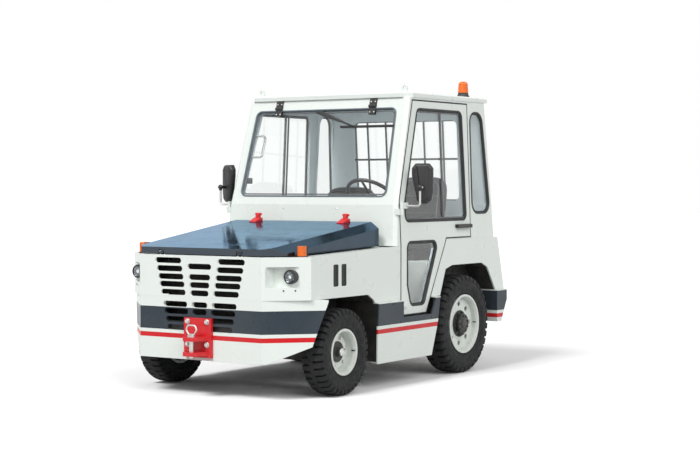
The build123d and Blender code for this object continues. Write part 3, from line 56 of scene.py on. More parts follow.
# Places that the pieces share, in metres
FACE_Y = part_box("front_bumper")[0].y
BODY_HALF = 0.757
BELT_Z = 0.985
ROOF_Z = 2.088
SIDE_LEAN = 0.04558
COWL = 1.262
COWL_SLOPE = 0.0976
GLASS_DEPTH = 0.014
DOOR_GLASS_DEPTH = 0.016
SIDES = (("left", 1), ("right", -1))


def behind(distance):
    """Y of a place this far behind the front face."""
    return FACE_Y + distance


def leaning(distance, height, run, rise, way):
    """A frame on a plane that leans run in rise; it looks back for way 1, ahead for way -1."""
    lean = atan2(run, rise)
    return np.array([(0, behind(distance), height), (-way, 0, 0), (0, -way * sin(lean), cos(lean)),
                     (0, way * cos(lean), sin(lean))])


# Frames for flat work: origin, across, up, outward
SCREEN_FRAME = leaning(1.290, 1.272, 0.224, 0.778, -1)
BACK_FRAME = leaning(2.714, BELT_Z, 0.082, 1.065, 1)
TAIL_FRAME = leaning(2.880, 0.600, 0.108, 0.410, 1)


# Surfaces worked out as whole arrays
def unit(vectors):
    """Vectors brought to length one."""
    return vectors / np.maximum(np.linalg.norm(vectors, axis=-1, keepdims=True), 1e-12)


def grid(points, wrap_u=False, wrap_v=False, cap=False):
    """Quads between neighbours in a grid of points; a wrapped way closes, capped ends get one face each."""
    n, m = points.shape[:2]
    index = np.arange(n * m).reshape(n, m)
    caps = [index[0].tolist(), index[-1][::-1].tolist()] if cap else []
    if wrap_u:
        index = np.concatenate([index, index[:1]])
    if wrap_v:
        index = np.concatenate([index, index[:, :1]], axis=1)
    quads = np.stack([index[:-1, :-1], index[1:, :-1], index[1:, 1:], index[:-1, 1:]], axis=-1)
    return points.reshape(-1, 3), quads.reshape(-1, 4).tolist() + caps


def joined(*shapes):
    """Several shapes as one."""
    starts = np.cumsum([0] + [len(points) for points, faces in shapes])
    faces = [[i + start for i in face] for (points, own), start in zip(shapes, starts) for face in own]
    return np.concatenate([points for points, own in shapes]), faces


def sided(shape, side):
    """A left-hand shape for side 1, its mirror image for side -1."""
    return shape[0] * (side, 1, 1), shape[1]


def copies(every, faces):
    """The same faces for each of many sets of points."""
    steps = np.arange(len(every)) * every.shape[1]
    return every.reshape(-1, 3), [[i + step for i in face] for step in steps.tolist() for face in faces]


def repeated(shape, moves):
    """One shape at many places: the points plus each move."""
    return copies(shape[0][None] + np.asarray(moves, float)[:, None], shape[1])


def turned_copies(shape, angles):
    """Copies of a shape turned about +X."""
    x, y, z = shape[0].T
    a = np.asarray(angles, float)[:, None]
    every = np.stack([x + 0 * a, y * np.cos(a) - z * np.sin(a), z * np.cos(a) + y * np.sin(a)], axis=-1)
    return copies(every, shape[1])


def rounded(corners, radius, steps=5, closed=True):
    """A line through corners, each an arc that touches both its sides; a large radius is held to them."""
    corners = np.asarray(corners, float)
    radius = np.broadcast_to(np.asarray(radius, float), len(corners)).copy()
    if not closed:
        radius[[0, -1]] = 0
    before, after = np.roll(corners, 1, axis=0) - corners, np.roll(corners, -1, axis=0) - corners
    room = 0.49 * np.minimum(np.linalg.norm(before, axis=1), np.linalg.norm(after, axis=1))
    before, after = unit(before), unit(after)
    half = np.arccos(np.clip((before * after).sum(axis=1), -0.999999, 0.999999)) / 2
    reach = np.minimum(radius / np.tan(half), room)[:, None]
    centre = corners + unit(before + after) * reach / np.cos(half)[:, None]
    start, end = corners + before * reach - centre, corners + after * reach - centre
    turn = (pi - 2 * half)[:, None, None]
    s = np.linspace(0, 1, steps + 1)[None, :, None]
    arcs = (np.sin((1 - s) * turn) * start[:, None] + np.sin(s * turn) * end[:, None]) / np.sin(turn)
    return (centre[:, None] + arcs).reshape(-1, corners.shape[1])


def box(left, low, right, high, radius, steps=5):
    """A rectangle of (across, up) points with rounded corners."""
    return rounded([(left, low), (right, low), (right, high), (left, high)], radius, steps)


def ring_of(radius, steps):
    """A circle of (across, up) points."""
    a = np.linspace(0, 2 * pi, steps, endpoint=False)
    return radius * np.stack([np.cos(a), np.sin(a)], axis=1)


def drawn_in(outline, amount):
    """An outline moved inwards along its mitred corner normals."""
    edge = unit(np.roll(outline, -1, axis=0) - outline)
    normal = np.stack([-edge[:, 1], edge[:, 0]], axis=1)
    area = (outline[:, 0] * np.roll(outline[:, 1], -1) - np.roll(outline[:, 0], -1) * outline[:, 1]).sum()
    mean = unit(normal + np.roll(normal, 1, axis=0)) * np.sign(area)
    stretch = np.maximum((mean * normal * np.sign(area)).sum(axis=1, keepdims=True), 0.5)
    return outline + mean * amount / stretch


def placed(outline, height, at):
    """Flat (across, up) points, raised by a height, on a frame of origin, across, up and outward."""
    origin, across, up, outward = at
    return origin + outline[..., :1] * across + outline[..., 1:2] * up + height * outward


def spot(across, up, height, at):
    """One place on a frame."""
    return placed(np.array([(across, up)]), height, at)[0]


def slab(outline, low, high, at, bevel=0.001, steps=3):
    """A plate on a frame: its outline between two heights, both rims drawn in along a quarter circle."""
    turn = np.linspace(0, pi / 2, steps + 1)
    inset, rise = bevel * (1 - np.sin(turn)), bevel * (1 - np.cos(turn))
    layers = [placed(drawn_in(outline, i), low + r, at) for i, r in zip(inset, rise)]
    layers += [placed(drawn_in(outline, i), high - r, at) for i, r in zip(inset[::-1], rise[::-1])]
    return grid(np.array(layers), wrap_v=True, cap=True)


def lathe(profile, centre, axis, steps, closed=False):
    """A profile of (along, radius) turned about an axis: centre + along axis + radius (cos a, sin a)."""
    axis = unit(np.asarray(axis, float))
    first = unit(np.cross(axis, (0.3, 0.2, 0.9)))
    second = np.cross(axis, first)
    a = np.linspace(0, 2 * pi, steps, endpoint=False)[:, None, None]
    profile = np.asarray(profile, float)[None]
    points = centre + profile[..., :1] * axis + profile[..., 1:] * (np.cos(a) * first + np.sin(a) * second)
    return grid(points, wrap_u=True, wrap_v=closed)


def sweep(route, section, outward, closed=False):
    """A section of (across, outward) points carried along a route, square to it all the way."""
    route = np.asarray(route, float)
    ahead = np.roll(route, -1, axis=0) - np.roll(route, 1, axis=0) if closed else np.gradient(route, axis=0)
    across = unit(np.cross(unit(ahead), np.asarray(outward, float)))
    rise = np.cross(across, unit(ahead))
    section = np.asarray(section, float)[None]
    points = route[:, None] + section[..., :1] * across[:, None] + section[..., 1:] * rise[:, None]
    return grid(points, wrap_u=closed, wrap_v=True, cap=not closed)


def facing(origin, outward, up=(0, 0, 1)):
    """A frame for flat work that looks outward: across is up x outward, and up is made square to both."""
    outward = unit(np.asarray(outward, float))
    across = unit(np.cross(np.asarray(up, float), outward))
    return np.array([origin, across, np.cross(outward, across), outward])


# Profiles of small heads: share of the height, share of the radius
WASHER = np.array([(-0.1, 0), (-0.1, 1.3), (0.2, 1.3), (0.26, 1.22), (0.26, 0)])
HEXAGON = np.array([(0.2, 0), (0.2, 1), (0.84, 1), (1, 0.8), (1, 0)])
DOME = np.array([(-0.2, 0), (-0.2, 1), (0.3, 1), (0.75, 0.75), (1, 0.35), (1, 0)])


def hex_head(centre, axis, radius, height):
    """A hexagon head on a round washer."""
    size = (height, radius)
    return joined(lathe(WASHER * size, centre, axis, 20), lathe(HEXAGON * size, centre, axis, 6))


def screw_head(centre, axis, radius, height):
    """A low dome with a rim."""
    return lathe(DOME * (height, radius), centre, axis, 14)


def rod(start, end, radius, steps=16):
    """A round bar between two points, its ends drawn in by a short bevel."""
    start, end = np.asarray(start, float), np.asarray(end, float)
    long = np.linalg.norm(end - start)
    bevel = min(0.2 * radius, 0.2 * long)
    profile = [(0, 0), (0, radius - bevel), (bevel, radius), (long - bevel, radius), (long, radius - bevel),
               (long, 0)]
    return lathe(profile, start, end - start, steps)


def tube(corners, bend, radius):
    """A round bar carried along a line with rounded corners."""
    route = rounded(corners, bend, 7, closed=False)
    plane = unit(np.cross(route[1] - route[0], route[-2] - route[0]) + 1e-9)
    return sweep(route, ring_of(radius, 14), plane)


def piece(name, shape, finish, body="chassis", slot="black_plastic", *replaced, sharp=35):
    """A closed mesh facing outwards, with its finish, its body and the nodes that it stands for; the slot
    argument is not used.
    """
    points, faces = shape
    mesh = bpy.data.meshes.new(name)
    mesh.from_pydata(points.tolist(), [], faces)
    work = bmesh.new()
    work.from_mesh(mesh)
    bmesh.ops.remove_doubles(work, verts=work.verts, dist=1e-6)
    bmesh.ops.recalc_face_normals(work, faces=work.faces)
    work.to_mesh(mesh)
    work.free()
    mesh.shade_smooth()
    mesh.set_sharp_from_angle(angle=radians(sharp))
    mesh.materials.append(finish)
    part = bpy.data.objects.new(name, mesh)
    bpy.context.scene.collection.objects.link(part)
    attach(part, body)
    if replaced:
        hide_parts(*replaced)
    return part


def both_sides(*rows, sharp=35):
    """Left-hand pieces and their mirror images, in rows of what piece takes; SIDE becomes left or right."""
    for side_name, side in SIDES:
        for name, shape, finish, *places in rows:
            name, *places = [text.replace("SIDE", side_name) for text in (name, *places)]
            piece(name, sided(shape, side), finish, *places, sharp=sharp)


# Finishes; the numbers are the Mix node's sockets for colours
MIX_FIRST, MIX_SECOND, MIX_RESULT = 6, 7, 2


def add_node(tree, kind, inputs=(), **settings):
    """A node with its settings, its inputs linked to sockets or set to values."""
    made = tree.nodes.new(kind)
    for name, value in settings.items():
        setattr(made, name, value)
    for name, value in dict(inputs).items():
        if isinstance(value, bpy.types.NodeSocket):
            tree.links.new(value, made.inputs[name])
        else:
            made.inputs[name].default_value = value
    return made


def seen(tree):
    """1 for a ray from the camera, off a gloss or through glass, 0 for one that only carries light."""
    rays = add_node(tree, "ShaderNodeLightPath").outputs
    shown = rays["Is Camera Ray"]
    for other in ("Is Glossy Ray", "Is Transmission Ray"):
        shown = add_node(tree, "ShaderNodeMath", {0: shown, 1: rays[other]}, operation="MAXIMUM").outputs[0]
    return shown


def tinted(colour, share, lift=0.0):
    """A colour made lighter or darker."""
    return tuple(min(1, share * c + lift) for c in colour)


class Finish:
    """A procedural finish: one shader, with nodes that read Object coordinates."""

    def __init__(self, name, colour, roughness, **sockets):
        self.material = bpy.data.materials.new(name)
        self.material.use_nodes = True
        self.tree = self.material.node_tree
        self.shader = self.tree.nodes["Principled BSDF"]
        for socket, value in {"Base_Color": (*colour, 1), "Roughness": roughness, **sockets}.items():
            self.shader.inputs[socket.replace("_", " ")].default_value = value
        self.place = self.node("ShaderNodeTexCoord").outputs["Object"]

    def node(self, kind, inputs=(), **settings):
        return add_node(self.tree, kind, inputs, **settings)

    def math(self, operation, first, second=0.0):
        return self.node("ShaderNodeMath", {0: first, 1: second}, operation=operation).outputs[0]

    def feed(self, socket, output):
        self.tree.links.new(output, self.shader.inputs[socket])

    def noise(self, scale, detail=2.0):
        """Noise from 0 to 1."""
        inputs = {"Vector": self.place, "Scale": scale, "Detail": detail}
        return self.node("ShaderNodeTexNoise", inputs).outputs["Fac"]

    def between(self, value, low, high, to_low, to_high):
        """A value brought from one range to another, and held to it."""
        inputs = {"Value": value, "From Min": low, "From Max": high, "To Min": to_low, "To Max": to_high}
        return self.node("ShaderNodeMapRange", inputs).outputs["Result"]

    def blend(self, share, first, second):
        """One colour over another by a share from 0 to 1."""
        first, second = (c if isinstance(c, bpy.types.NodeSocket) else (*c, 1) for c in (first, second))
        made = self.node("ShaderNodeMix", {0: share, MIX_FIRST: first, MIX_SECOND: second}, data_type="RGBA")
        return made.outputs[MIX_RESULT]

    def height(self):
        """The point's height above the ground."""
        return self.node("ShaderNodeSeparateXYZ", {"Vector": self.place}).outputs["Z"]

    def patches(self, colour, tint, scale, detail, low, high, share):
        """Base colour that turns to a tint where noise is high, by up to a share."""
        cloud = self.between(self.noise(scale, detail), low, high, 0.0, share)
        self.feed("Base Color", self.blend(cloud, colour, tint))

    def rough(self, scale, detail, low, high):
        """Roughness that wanders with noise."""
        self.feed("Roughness", self.between(self.noise(scale, detail), 0.3, 0.7, low, high))

    def bump(self, value, depth, strength, soften=0.0):
        """Relief of a depth in metres, over edges that may be softened by a radius."""
        inputs = {"Height": value, "Distance": depth, "Strength": strength}
        if soften:
            inputs["Normal"] = self.node("ShaderNodeBevel", {"Radius": soften}, samples=4).outputs["Normal"]
        self.feed("Normal", self.node("ShaderNodeBump", inputs).outputs["Normal"])


WARM_WHITE = (0.752, 0.799, 0.761)
SLATE = (0.030, 0.042, 0.056)
SIGNAL_RED = (0.61, 0.0097, 0.0168)
# Bluish grey painted shade for the cab's inside faces, standing in for the shade in the cab
PAINTED_SHADE_TINT = (0.72, 0.80, 0.83)
DUST = (0.33, 0.31, 0.26)
# Stripes: the height where each begins, and its colour
STRIPES = ((0.0, WARM_WHITE), (0.386, SIGNAL_RED), (0.416, WARM_WHITE), (0.441, SLATE), (0.591, WARM_WHITE))


def skin_plane(at):
    """The inward normal of a frame's plane, and the offset that makes depth zero on it."""
    return tuple(-at[3]), at[3] @ at[0]


# Planes of the cab's skin on folded coordinates (|x|, y, z), which bound the painted shade inside the cab
SKIN_PLANES = (
    ((-1, 0, 0), BODY_HALF),
    ((-1, 0, -SIDE_LEAN), BODY_HALF + SIDE_LEAN * BELT_Z),
    skin_plane(SCREEN_FRAME),
    ((0, 1, -COWL_SLOPE), COWL_SLOPE * BELT_Z - behind(COWL)),
    skin_plane(BACK_FRAME),
    ((0, 0, -1), ROOF_Z),
)


def painted_shade_mask(finish):
    """Mask of the painted shade inside the cab: 1 deeper than 24 mm inside every plane of the skin, 0 nearer
    than 20 mm: depth is the least of them.
    """
    parts = finish.node("ShaderNodeSeparateXYZ", {"Vector": finish.place}).outputs
    inputs = {"X": finish.math("ABSOLUTE", parts["X"]), "Y": parts["Y"], "Z": parts["Z"]}
    folded = finish.node("ShaderNodeCombineXYZ", inputs).outputs[0]
    depth = 1.0
    for normal, offset in SKIN_PLANES:
        reach = finish.node("ShaderNodeVectorMath", {0: folded, 1: normal}, operation="DOT_PRODUCT")
        depth = finish.math("MINIMUM", depth, finish.math("ADD", reach.outputs["Value"], offset))
    return finish.between(depth, 0.020, 0.024, 0.0, 1.0)


def enamel(name, colour, stripes=(), roughness=0.3, dust=0.14, painted_shade_inside=False, **sockets):
    """Sprayed enamel on sheet steel: a faint cloud of tone, dust towards the ground, a fine orange peel;
    inside the cab it can take a painted bluish shade.
    """
    finish = Finish(name, colour, roughness, **{"Coat_Weight": 0.12, "Coat_Roughness": 0.09,
                                                "Specular_IOR_Level": 0.38, **sockets})
    base = colour
    if stripes:
        bands = finish.node("ShaderNodeValToRGB", {"Fac": finish.height()})
        bands.color_ramp.interpolation = "CONSTANT"
        while len(bands.color_ramp.elements) < len(stripes):
            bands.color_ramp.elements.new(1.0)
        for element, (start, shade) in zip(bands.color_ramp.elements, stripes):
            element.position = start
            element.color = (*shade, 1)
        base = bands.outputs["Color"]
    # Painted shade: the cab's inside faces turn to a bluish grey that stands in for the shade in there
    if painted_shade_inside:
        base = finish.blend(painted_shade_mask(finish), colour, PAINTED_SHADE_TINT)
    cloud = finish.between(finish.noise(2.3, 3.0), 0.35, 0.7, 0.0, 0.06)
    toned = finish.blend(cloud, base, (0.45, 0.46, 0.42) if stripes or painted_shade_inside else tinted(colour, 0.72))
    low = finish.between(finish.height(), 0.75, 0.2, 0.0, dust)
    speck = finish.between(finish.noise(26.0, 6.0), 0.45, 0.75, 0.15, 1.0)
    finish.feed("Base Color", finish.blend(finish.math("MULTIPLY", low, speck), toned, DUST))
    finish.rough(9.0, 4.0, roughness - 0.05, roughness + 0.09)
    finish.bump(finish.noise(420.0), 0.00004, 0.6, soften=0.0025)
    return finish.material


def plastic(name, colour, roughness=0.45, grain=900.0, depth=0.00006):
    """Moulded plastic: a fine grain, and a little scuffing in its gloss."""
    finish = Finish(name, colour, roughness, Specular_IOR_Level=0.5)
    finish.patches(colour, tinted(colour, 1.6, 0.012), 34.0, 5.0, 0.4, 0.8, 0.4)
    finish.rough(60.0, 4.0, roughness - 0.08, roughness + 0.12)
    finish.bump(finish.noise(grain), depth, 0.7, soften=0.0015)
    return finish.material


def rubber(name, colour, roughness, dust):
    """Weathered rubber: matt, with pale dust in its hollows and a rough skin."""
    finish = Finish(name, colour, roughness, Specular_IOR_Level=0.35)
    finish.patches(colour, (0.085, 0.082, 0.074), 14.0, 6.0, 0.42, 0.72, dust)
    finish.rough(40.0, 5.0, roughness - 0.12, roughness + 0.15)
    finish.bump(finish.noise(260.0, 6.0), 0.00025, 0.6)
    return finish.material


def metal(name, colour, roughness=0.32):
    """Plated steel: fine scratches and patches of duller plating."""
    finish = Finish(name, colour, roughness, Metallic=1.0)
    finish.patches(colour, tinted(colour, 0.6), 70.0, 3.0, 0.35, 0.7, 0.5)
    finish.rough(120.0, 4.0, roughness - 0.1, roughness + 0.2)
    finish.bump(finish.noise(500.0, 3.0), 0.00004, 0.6, soften=0.001)
    return finish.material


def iron(name, colour, roughness=0.6, depth=0.0006):
    """Cast or rough-painted iron: a coarse skin with grease and dust on it."""
    finish = Finish(name, colour, roughness, Specular_IOR_Level=0.4)
    finish.patches(colour, (0.05, 0.045, 0.036), 12.0, 6.0, 0.4, 0.7, 0.7)
    finish.rough(30.0, 5.0, roughness - 0.2, roughness + 0.2)
    finish.bump(finish.noise(180.0, 5.0), depth, 0.5, soften=0.002)
    return finish.material


def glass(name, tint, roughness=0.0):
    """Clear glass or lens: it lets light through as it is, so what lies behind it stays lit."""
    finish = Finish(name, tint, roughness, Transmission_Weight=1.0, IOR=1.42)
    shadow = finish.node("ShaderNodeLightPath").outputs["Is Shadow Ray"]
    finish.feed("Alpha", finish.between(shadow, 0.0, 1.0, 1.0, 0.03))
    finish.rough(3.0, 3.0, roughness, roughness + 0.02)
    return finish.material


def vinyl(name, colour):
    """Grained vinyl: small cells, soft sheen."""
    finish = Finish(name, colour, 0.52, Sheen_Weight=0.15, Sheen_Roughness=0.5)
    cells = finish.node("ShaderNodeTexVoronoi", {"Vector": finish.place, "Scale": 480.0}).outputs["Distance"]
    finish.patches(colour, tinted(colour, 1.8, 0.01), 7.0, 4.0, 0.4, 0.7, 0.5)
    finish.rough(18.0, 4.0, 0.42, 0.66)
    finish.bump(cells, 0.0004, 0.5)
    return finish.material


BODY_PAINT = enamel("warm_white_enamel", WARM_WHITE)
STRIPED_PAINT = enamel("striped_enamel", WARM_WHITE, STRIPES, dust=0.05, Specular_IOR_Level=0.16,
                       Coat_Weight=0.04)
# Cab enamel with a painted bluish shade on its inside faces
CAB_PAINT_SHADED_INSIDE = enamel("cab_enamel_painted_shade_inside", WARM_WHITE, painted_shade_inside=True)
RED_PAINT = enamel("signal_red_enamel", SIGNAL_RED, roughness=0.32, dust=0.1)
CHASSIS_PAINT = iron("black_chassis_paint", (0.018, 0.018, 0.019), 0.55, 0.0002)
RIM_PAINT = enamel("rim_enamel", (0.70, 0.745, 0.70), roughness=0.38, dust=0.3)
TYRE_RUBBER = rubber("tyre_rubber", (0.008, 0.0085, 0.0095), 0.75, 0.07)
SEAL_RUBBER = rubber("seal_rubber", (0.014, 0.016, 0.017), 0.5, 0.15)
SCREEN_RUBBER = rubber("screen_seal_rubber", (0.13, 0.165, 0.185), 0.5, 0.15)
MAT_RUBBER = rubber("ribbed_mat_rubber", (0.02, 0.02, 0.02), 0.8, 0.5)
BLACK_PLASTIC = plastic("black_plastic", (0.012, 0.012, 0.013))
GREY_PLASTIC = plastic("grey_plastic", (0.11, 0.115, 0.12))
ZINC = metal("zinc_plate", (0.62, 0.62, 0.6))
CHROME = metal("bright_reflector", (0.85, 0.86, 0.88), 0.12)
DARK_REFLECTOR = metal("dark_reflector", (0.16, 0.17, 0.18), 0.2)
MIRROR_SILVER = metal("mirror_silver", (0.93, 0.94, 0.95), 0.1)
DARK_STEEL = iron("greased_steel", (0.02, 0.025, 0.022), 0.45, 0.0003)
CORE_FINS = iron("radiator_core_black", (0.012, 0.012, 0.012), 0.6, 0.0004)
CLEAR_LENS = glass("clear_lens", (0.95, 0.97, 0.98), 0.02)
AMBER_LENS = plastic("amber_lens", (0.80, 0.145, 0.008), 0.2, 300.0, 0.0002)
RED_LENS = plastic("red_lens", (0.45, 0.008, 0.008), 0.2, 300.0, 0.0002)
SEAT_VINYL = vinyl("black_seat_vinyl", (0.018, 0.018, 0.019))
PIPING_VINYL = vinyl("grey_piping_vinyl", (0.10, 0.11, 0.11))

# Finishes of the construction's own nodes, by material slot or by node
SLOT_FINISHES = dict(
    body_paint=BODY_PAINT, red_paint=RED_PAINT, chassis_paint=CHASSIS_PAINT, rim_paint=RIM_PAINT,
    floor_mat=MAT_RUBBER, radiator_core=CORE_FINS, tyre_rubber=TYRE_RUBBER, zinc_steel=ZINC,
    black_plastic=BLACK_PLASTIC, seat_vinyl=SEAT_VINYL, lamp_clear=CHROME, lamp_amber=AMBER_LENS,
    lamp_red=RED_LENS, engine_iron=iron("engine_iron", (0.08, 0.085, 0.085)),
    window_glass=glass("window_glass", (0.972, 0.99, 0.984)),
    # Hood: glossy slate enamel; its blue specular tint is a painted reflection of a blue sky
    hood_paint=enamel("slate_gloss_painted_blue_reflection", (0.058, 0.070, 0.082), roughness=0.10, dust=0.0, Coat_Weight=0.15,
                      Metallic=0.85, Specular_Tint=(0.33, 0.65, 1.0, 1)))
NODE_FINISHES = dict(
    front_bumper=STRIPED_PAINT, skirts=STRIPED_PAINT, rear_bumper=STRIPED_PAINT, cab_frame=CAB_PAINT_SHADED_INSIDE,
    cowl=CAB_PAINT_SHADED_INSIDE, roof=CAB_PAINT_SHADED_INSIDE, door_left=CAB_PAINT_SHADED_INSIDE, door_right=CAB_PAINT_SHADED_INSIDE, seat_bases=CHASSIS_PAINT,
    rear_guard=GREY_PLASTIC,
    front_panel=enamel("nose_enamel", WARM_WHITE, ((0.0, WARM_WHITE), (0.9462, SLATE))),
    cab_floor=enamel("cab_floor_enamel", (0.76, 0.82, 0.78), roughness=0.45, dust=0.15),
    headlamps=enamel("lamp_housing_enamel", WARM_WHITE, ((0.0, WARM_WHITE), (0.7695, (0.02, 0.022, 0.024)),
                                                         (0.8645, WARM_WHITE))))
for subpart in frame["record"]["subparts"]:
    name = subpart["node"]
    mesh = nodes[name].data
    mesh.materials.clear()
    mesh.materials.append(NODE_FINISHES.get(name, SLOT_FINISHES[subpart["material_slot"]]))
    mesh.polygons.foreach_set("material_index", [0] * len(mesh.polygons))

# Tyres: lugs that run from each shoulder to a zigzag middle rib
LUGS = 36
GROOVE_DEPTH = 0.017
# Samples of one lug pitch: share of the pitch, share of the groove's depth
LUG_SAMPLES = np.array([(0.00, 0.12), (0.02, 0.0), (0.30, 0.0), (0.58, 0.0), (0.68, 0.0), (0.70, 0.12),
                        (0.735, 1.0), (0.965, 1.0)])
# Half section, as shares of the half width and of the height above the rim; the tread also has the groove's
# share of its depth and its turn, in lug pitches
TREAD = [(0.00, 1.000, 0, 0.25), (0.10, 1.000, 0, 0.18), (0.19, 0.999, 0, 0.10), (0.215, 0.998, 1, 0.08),
         (0.33, 0.996, 1, 0.02), (0.48, 0.992, 1, 0.02), (0.62, 0.985, 1, 0.01), (0.76, 0.972, 1, 0),
         (0.86, 0.945, 1, 0), (0.925, 0.900, 1, 0), (0.955, 0.850, 1, 0), (0.972, 0.790, 0.9, 0),
         (0.982, 0.740, 0.75, 0), (0.984, 0.725, 0.6, 0)]
WALL = [(0.955, 0.705), (0.972, 0.655), (0.992, 0.570), (0.995, 0.470), (0.980, 0.385), (0.958, 0.335),
        (0.972, 0.325), (0.966, 0.300), (0.940, 0.285), (0.915, 0.190), (0.880, 0.110), (0.850, 0.065),
        (0.810, 0.030), (0.780, 0.000), (0.770, -0.030)]
TYRE_SECTION = np.array(TREAD + [(*place, 0, 0) for place in WALL])
# Wheels: end of the vehicle, distance behind the face, radius, tyre width, rim radius
WHEELS = (("front", 0.575, 0.295, 0.175, 0.158), ("rear", 2.209, 0.370, 0.195, 0.222))
WHEEL_OUTER = 0.792


def wheel_middle(distance, radius, width):
    """The middle of a left wheel."""
    return np.array((WHEEL_OUTER - width / 2, behind(distance), radius))


def tyre_shape(radius, width, rim):
    """A section of (side, height) carried round +X; grooves sink it along its own normal, lug by lug."""
    half = np.concatenate([TYRE_SECTION[:0:-1] * (-1, 1, 1, 1), TYRE_SECTION])
    side, rise, groove, slant = half.T
    slant = np.where(side < 0, 0.5 - slant, slant)
    flat = np.stack([side * width / 2, rim + rise * (radius - rim)], axis=1)
    tangent = unit(np.gradient(flat, axis=0))
    normal = np.stack([-tangent[:, 1], tangent[:, 0]], axis=1)
    share = (np.arange(LUGS)[:, None] + LUG_SAMPLES[None, :, 0]).reshape(-1, 1)
    depth = np.tile(LUG_SAMPLES[:, 1], LUGS)[:, None] * groove[None] * GROOVE_DEPTH
    angle = (share + slant[None]) * 2 * pi / LUGS
    along, out = np.moveaxis(flat[None] - normal[None] * depth[..., None], -1, 0)
    return np.stack([along, out * np.cos(angle), out * np.sin(angle)], axis=-1)


for end, distance, radius, width, rim in WHEELS:
    skin = wheel_middle(distance, radius, width) + tyre_shape(radius, width, rim)
    both_sides((f"lugged_tyre_{end}_SIDE", grid(skin, wrap_u=True, wrap_v=True), TYRE_RUBBER,
                f"wheel_{end}_SIDE", "tyre_rubber", f"tyre_{end}_SIDE"), sharp=40)

# Window seals: a rubber lip that grips the panel's edge and the glass, which lies deeper in the doors
SEAL_SECTION = np.array([(10, 0.3), (10, 3), (8, 4.6), (-1, 5), (-4, 3), (-12, -12), (-12.5, -13.5),
                         (-0.5, -13.5), (-0.5, 0.3)]) / 1000
DOOR_SEAL = SEAL_SECTION.copy()
DOOR_SEAL[5:8, 1] -= 0.002
SCREEN = [(-0.648, 0.066), (0.648, 0.066), (0.622, 0.728), (-0.622, 0.728)]
BACK_GLASS = [(-0.480, 0.311), (0.480, 0.311), (0.480, 0.944), (-0.480, 0.944)]
QUARTER = [(2.386, 1.205), (2.660, 1.205), (2.582, 1.967), (2.402, 1.967)]
DOOR_UPPER = [(1.410, 1.158), (2.285, 1.158), (2.270, 1.966), (1.630, 1.966), (1.410, 1.290)]
DOOR_LOWER = [(1.425, 1.006), (1.425, 0.700), (1.472, 0.556), (1.650, 0.556), (1.852, 1.006)]
CORNER, QUARTER_CORNER = 0.046, 0.080
SIDE_OUT = unit(np.array((1.0, 0.0, SIDE_LEAN)))


def side_seal(corners, corner, section, steps=8):
    """A seal round side-view (distance, height) corners, laid on the cab's leaning left side."""
    distance, height = rounded(corners, corner, steps).T
    x = BODY_HALF - SIDE_LEAN * np.maximum(0, height - BELT_Z)
    return sweep(np.stack([x, behind(distance), height], axis=1), section, SIDE_OUT, closed=True)


def flat_seal(name, corners, at):
    """A seal round a window on one of the cab's flat frames, a little slimmer than on the doors."""
    route = placed(rounded(corners, CORNER, 8), 0.0, at)
    slim = np.where(SEAL_SECTION > 0.0055, SEAL_SECTION * 0.6, SEAL_SECTION)
    slim[:, 0] = np.maximum(slim[:, 0], -0.009)
    piece(name, sweep(route, slim, at[3], closed=True), SCREEN_RUBBER)


flat_seal("screen_seal", SCREEN, SCREEN_FRAME)
flat_seal("back_window_seal", BACK_GLASS, BACK_FRAME)
both_sides(("quarter_seal_SIDE", side_seal(QUARTER, QUARTER_CORNER, SEAL_SECTION), SEAL_RUBBER),
           ("door_window_seal_SIDE", side_seal(DOOR_UPPER, CORNER, DOOR_SEAL), SEAL_RUBBER, "door_SIDE"),
           ("door_foot_window_seal_SIDE", side_seal(DOOR_LOWER, CORNER, DOOR_SEAL), SEAL_RUBBER, "door_SIDE"))

# Door seals: a rubber bead on each door's edge that closes most of the gap to the cab
DOOR = [(1.335, 0.490), (1.683, 0.490), (1.9565, 0.985), (1.978, 1.024), (2.348, 1.024), (2.362, 2.030),
        (1.566, 2.030), (1.335, 1.310), (1.335, 0.985)]
BEAD_SECTION = np.array([(4.7, -12), (4.7, -0.8), (3.7, 0.9), (-3.4, 1.6), (-4.8, 1.0), (-4.8, -0.4),
                         (-0.4, -0.4), (-0.4, -12)]) / 1000
both_sides(("door_edge_seal_SIDE", side_seal(DOOR, 0.003, BEAD_SECTION, 2), SEAL_RUBBER, "door_SIDE"))

# Seats: crowned cushions and backrests; the side, its sign, and the height of the backrest's top
SEATS = (("left", 1, 1.480), ("right", -1, 1.400))
SEAT_X = 0.330
SEAT_REAR = behind(2.320)
BACK_FOOT = 1.042
RECLINE = 0.080


def cushion_shape(low, high, crown, waist, power=5.0, steps=56):
    """A box of power-curve section between two corners; its top swells by a crown, its sides by a waist."""
    low, high = np.array(low), np.array(high)
    middle, half = (low + high) / 2, (high - low) / 2
    u = np.linspace(0, 2 * pi, steps, endpoint=False)[:, None]
    v = np.linspace(-pi / 2, pi / 2, steps // 2)[None]
    cos_u, sin_u, cos_v, sin_v = [np.sign(wave) * np.abs(wave) ** (2 / power)
                                  for wave in (np.cos(u), np.sin(u), np.cos(v), np.sin(v))]
    x, y, z = cos_v * cos_u, cos_v * sin_u, sin_v * np.ones_like(u)
    swell = 1 - crown * (x ** 2 + y ** 2) / 2
    points = np.stack([x * (1 - waist * y ** 2), y * (1 - waist * x ** 2), z * swell], axis=-1)
    return grid(middle + points * half, wrap_u=True)


for side_name, side, top in SEATS:
    x = side * SEAT_X
    cushion = cushion_shape((x - 0.235, behind(1.850), 0.9303), (x + 0.235, SEAT_REAR, 1.040), 0.18, 0.03)
    back = cushion_shape((x - 0.215, behind(2.220), BACK_FOOT), (x + 0.215, SEAT_REAR, top), 0.1, 0.04)
    back[0][:, 1] += RECLINE * (back[0][:, 2] - BACK_FOOT) / (top - BACK_FOOT)
    for label, shape in (("cushion", cushion), ("back", back)):
        seat = piece(f"seat_{label}_{side_name}", shape, SEAT_VINYL, "chassis", "seat_vinyl", "seats")


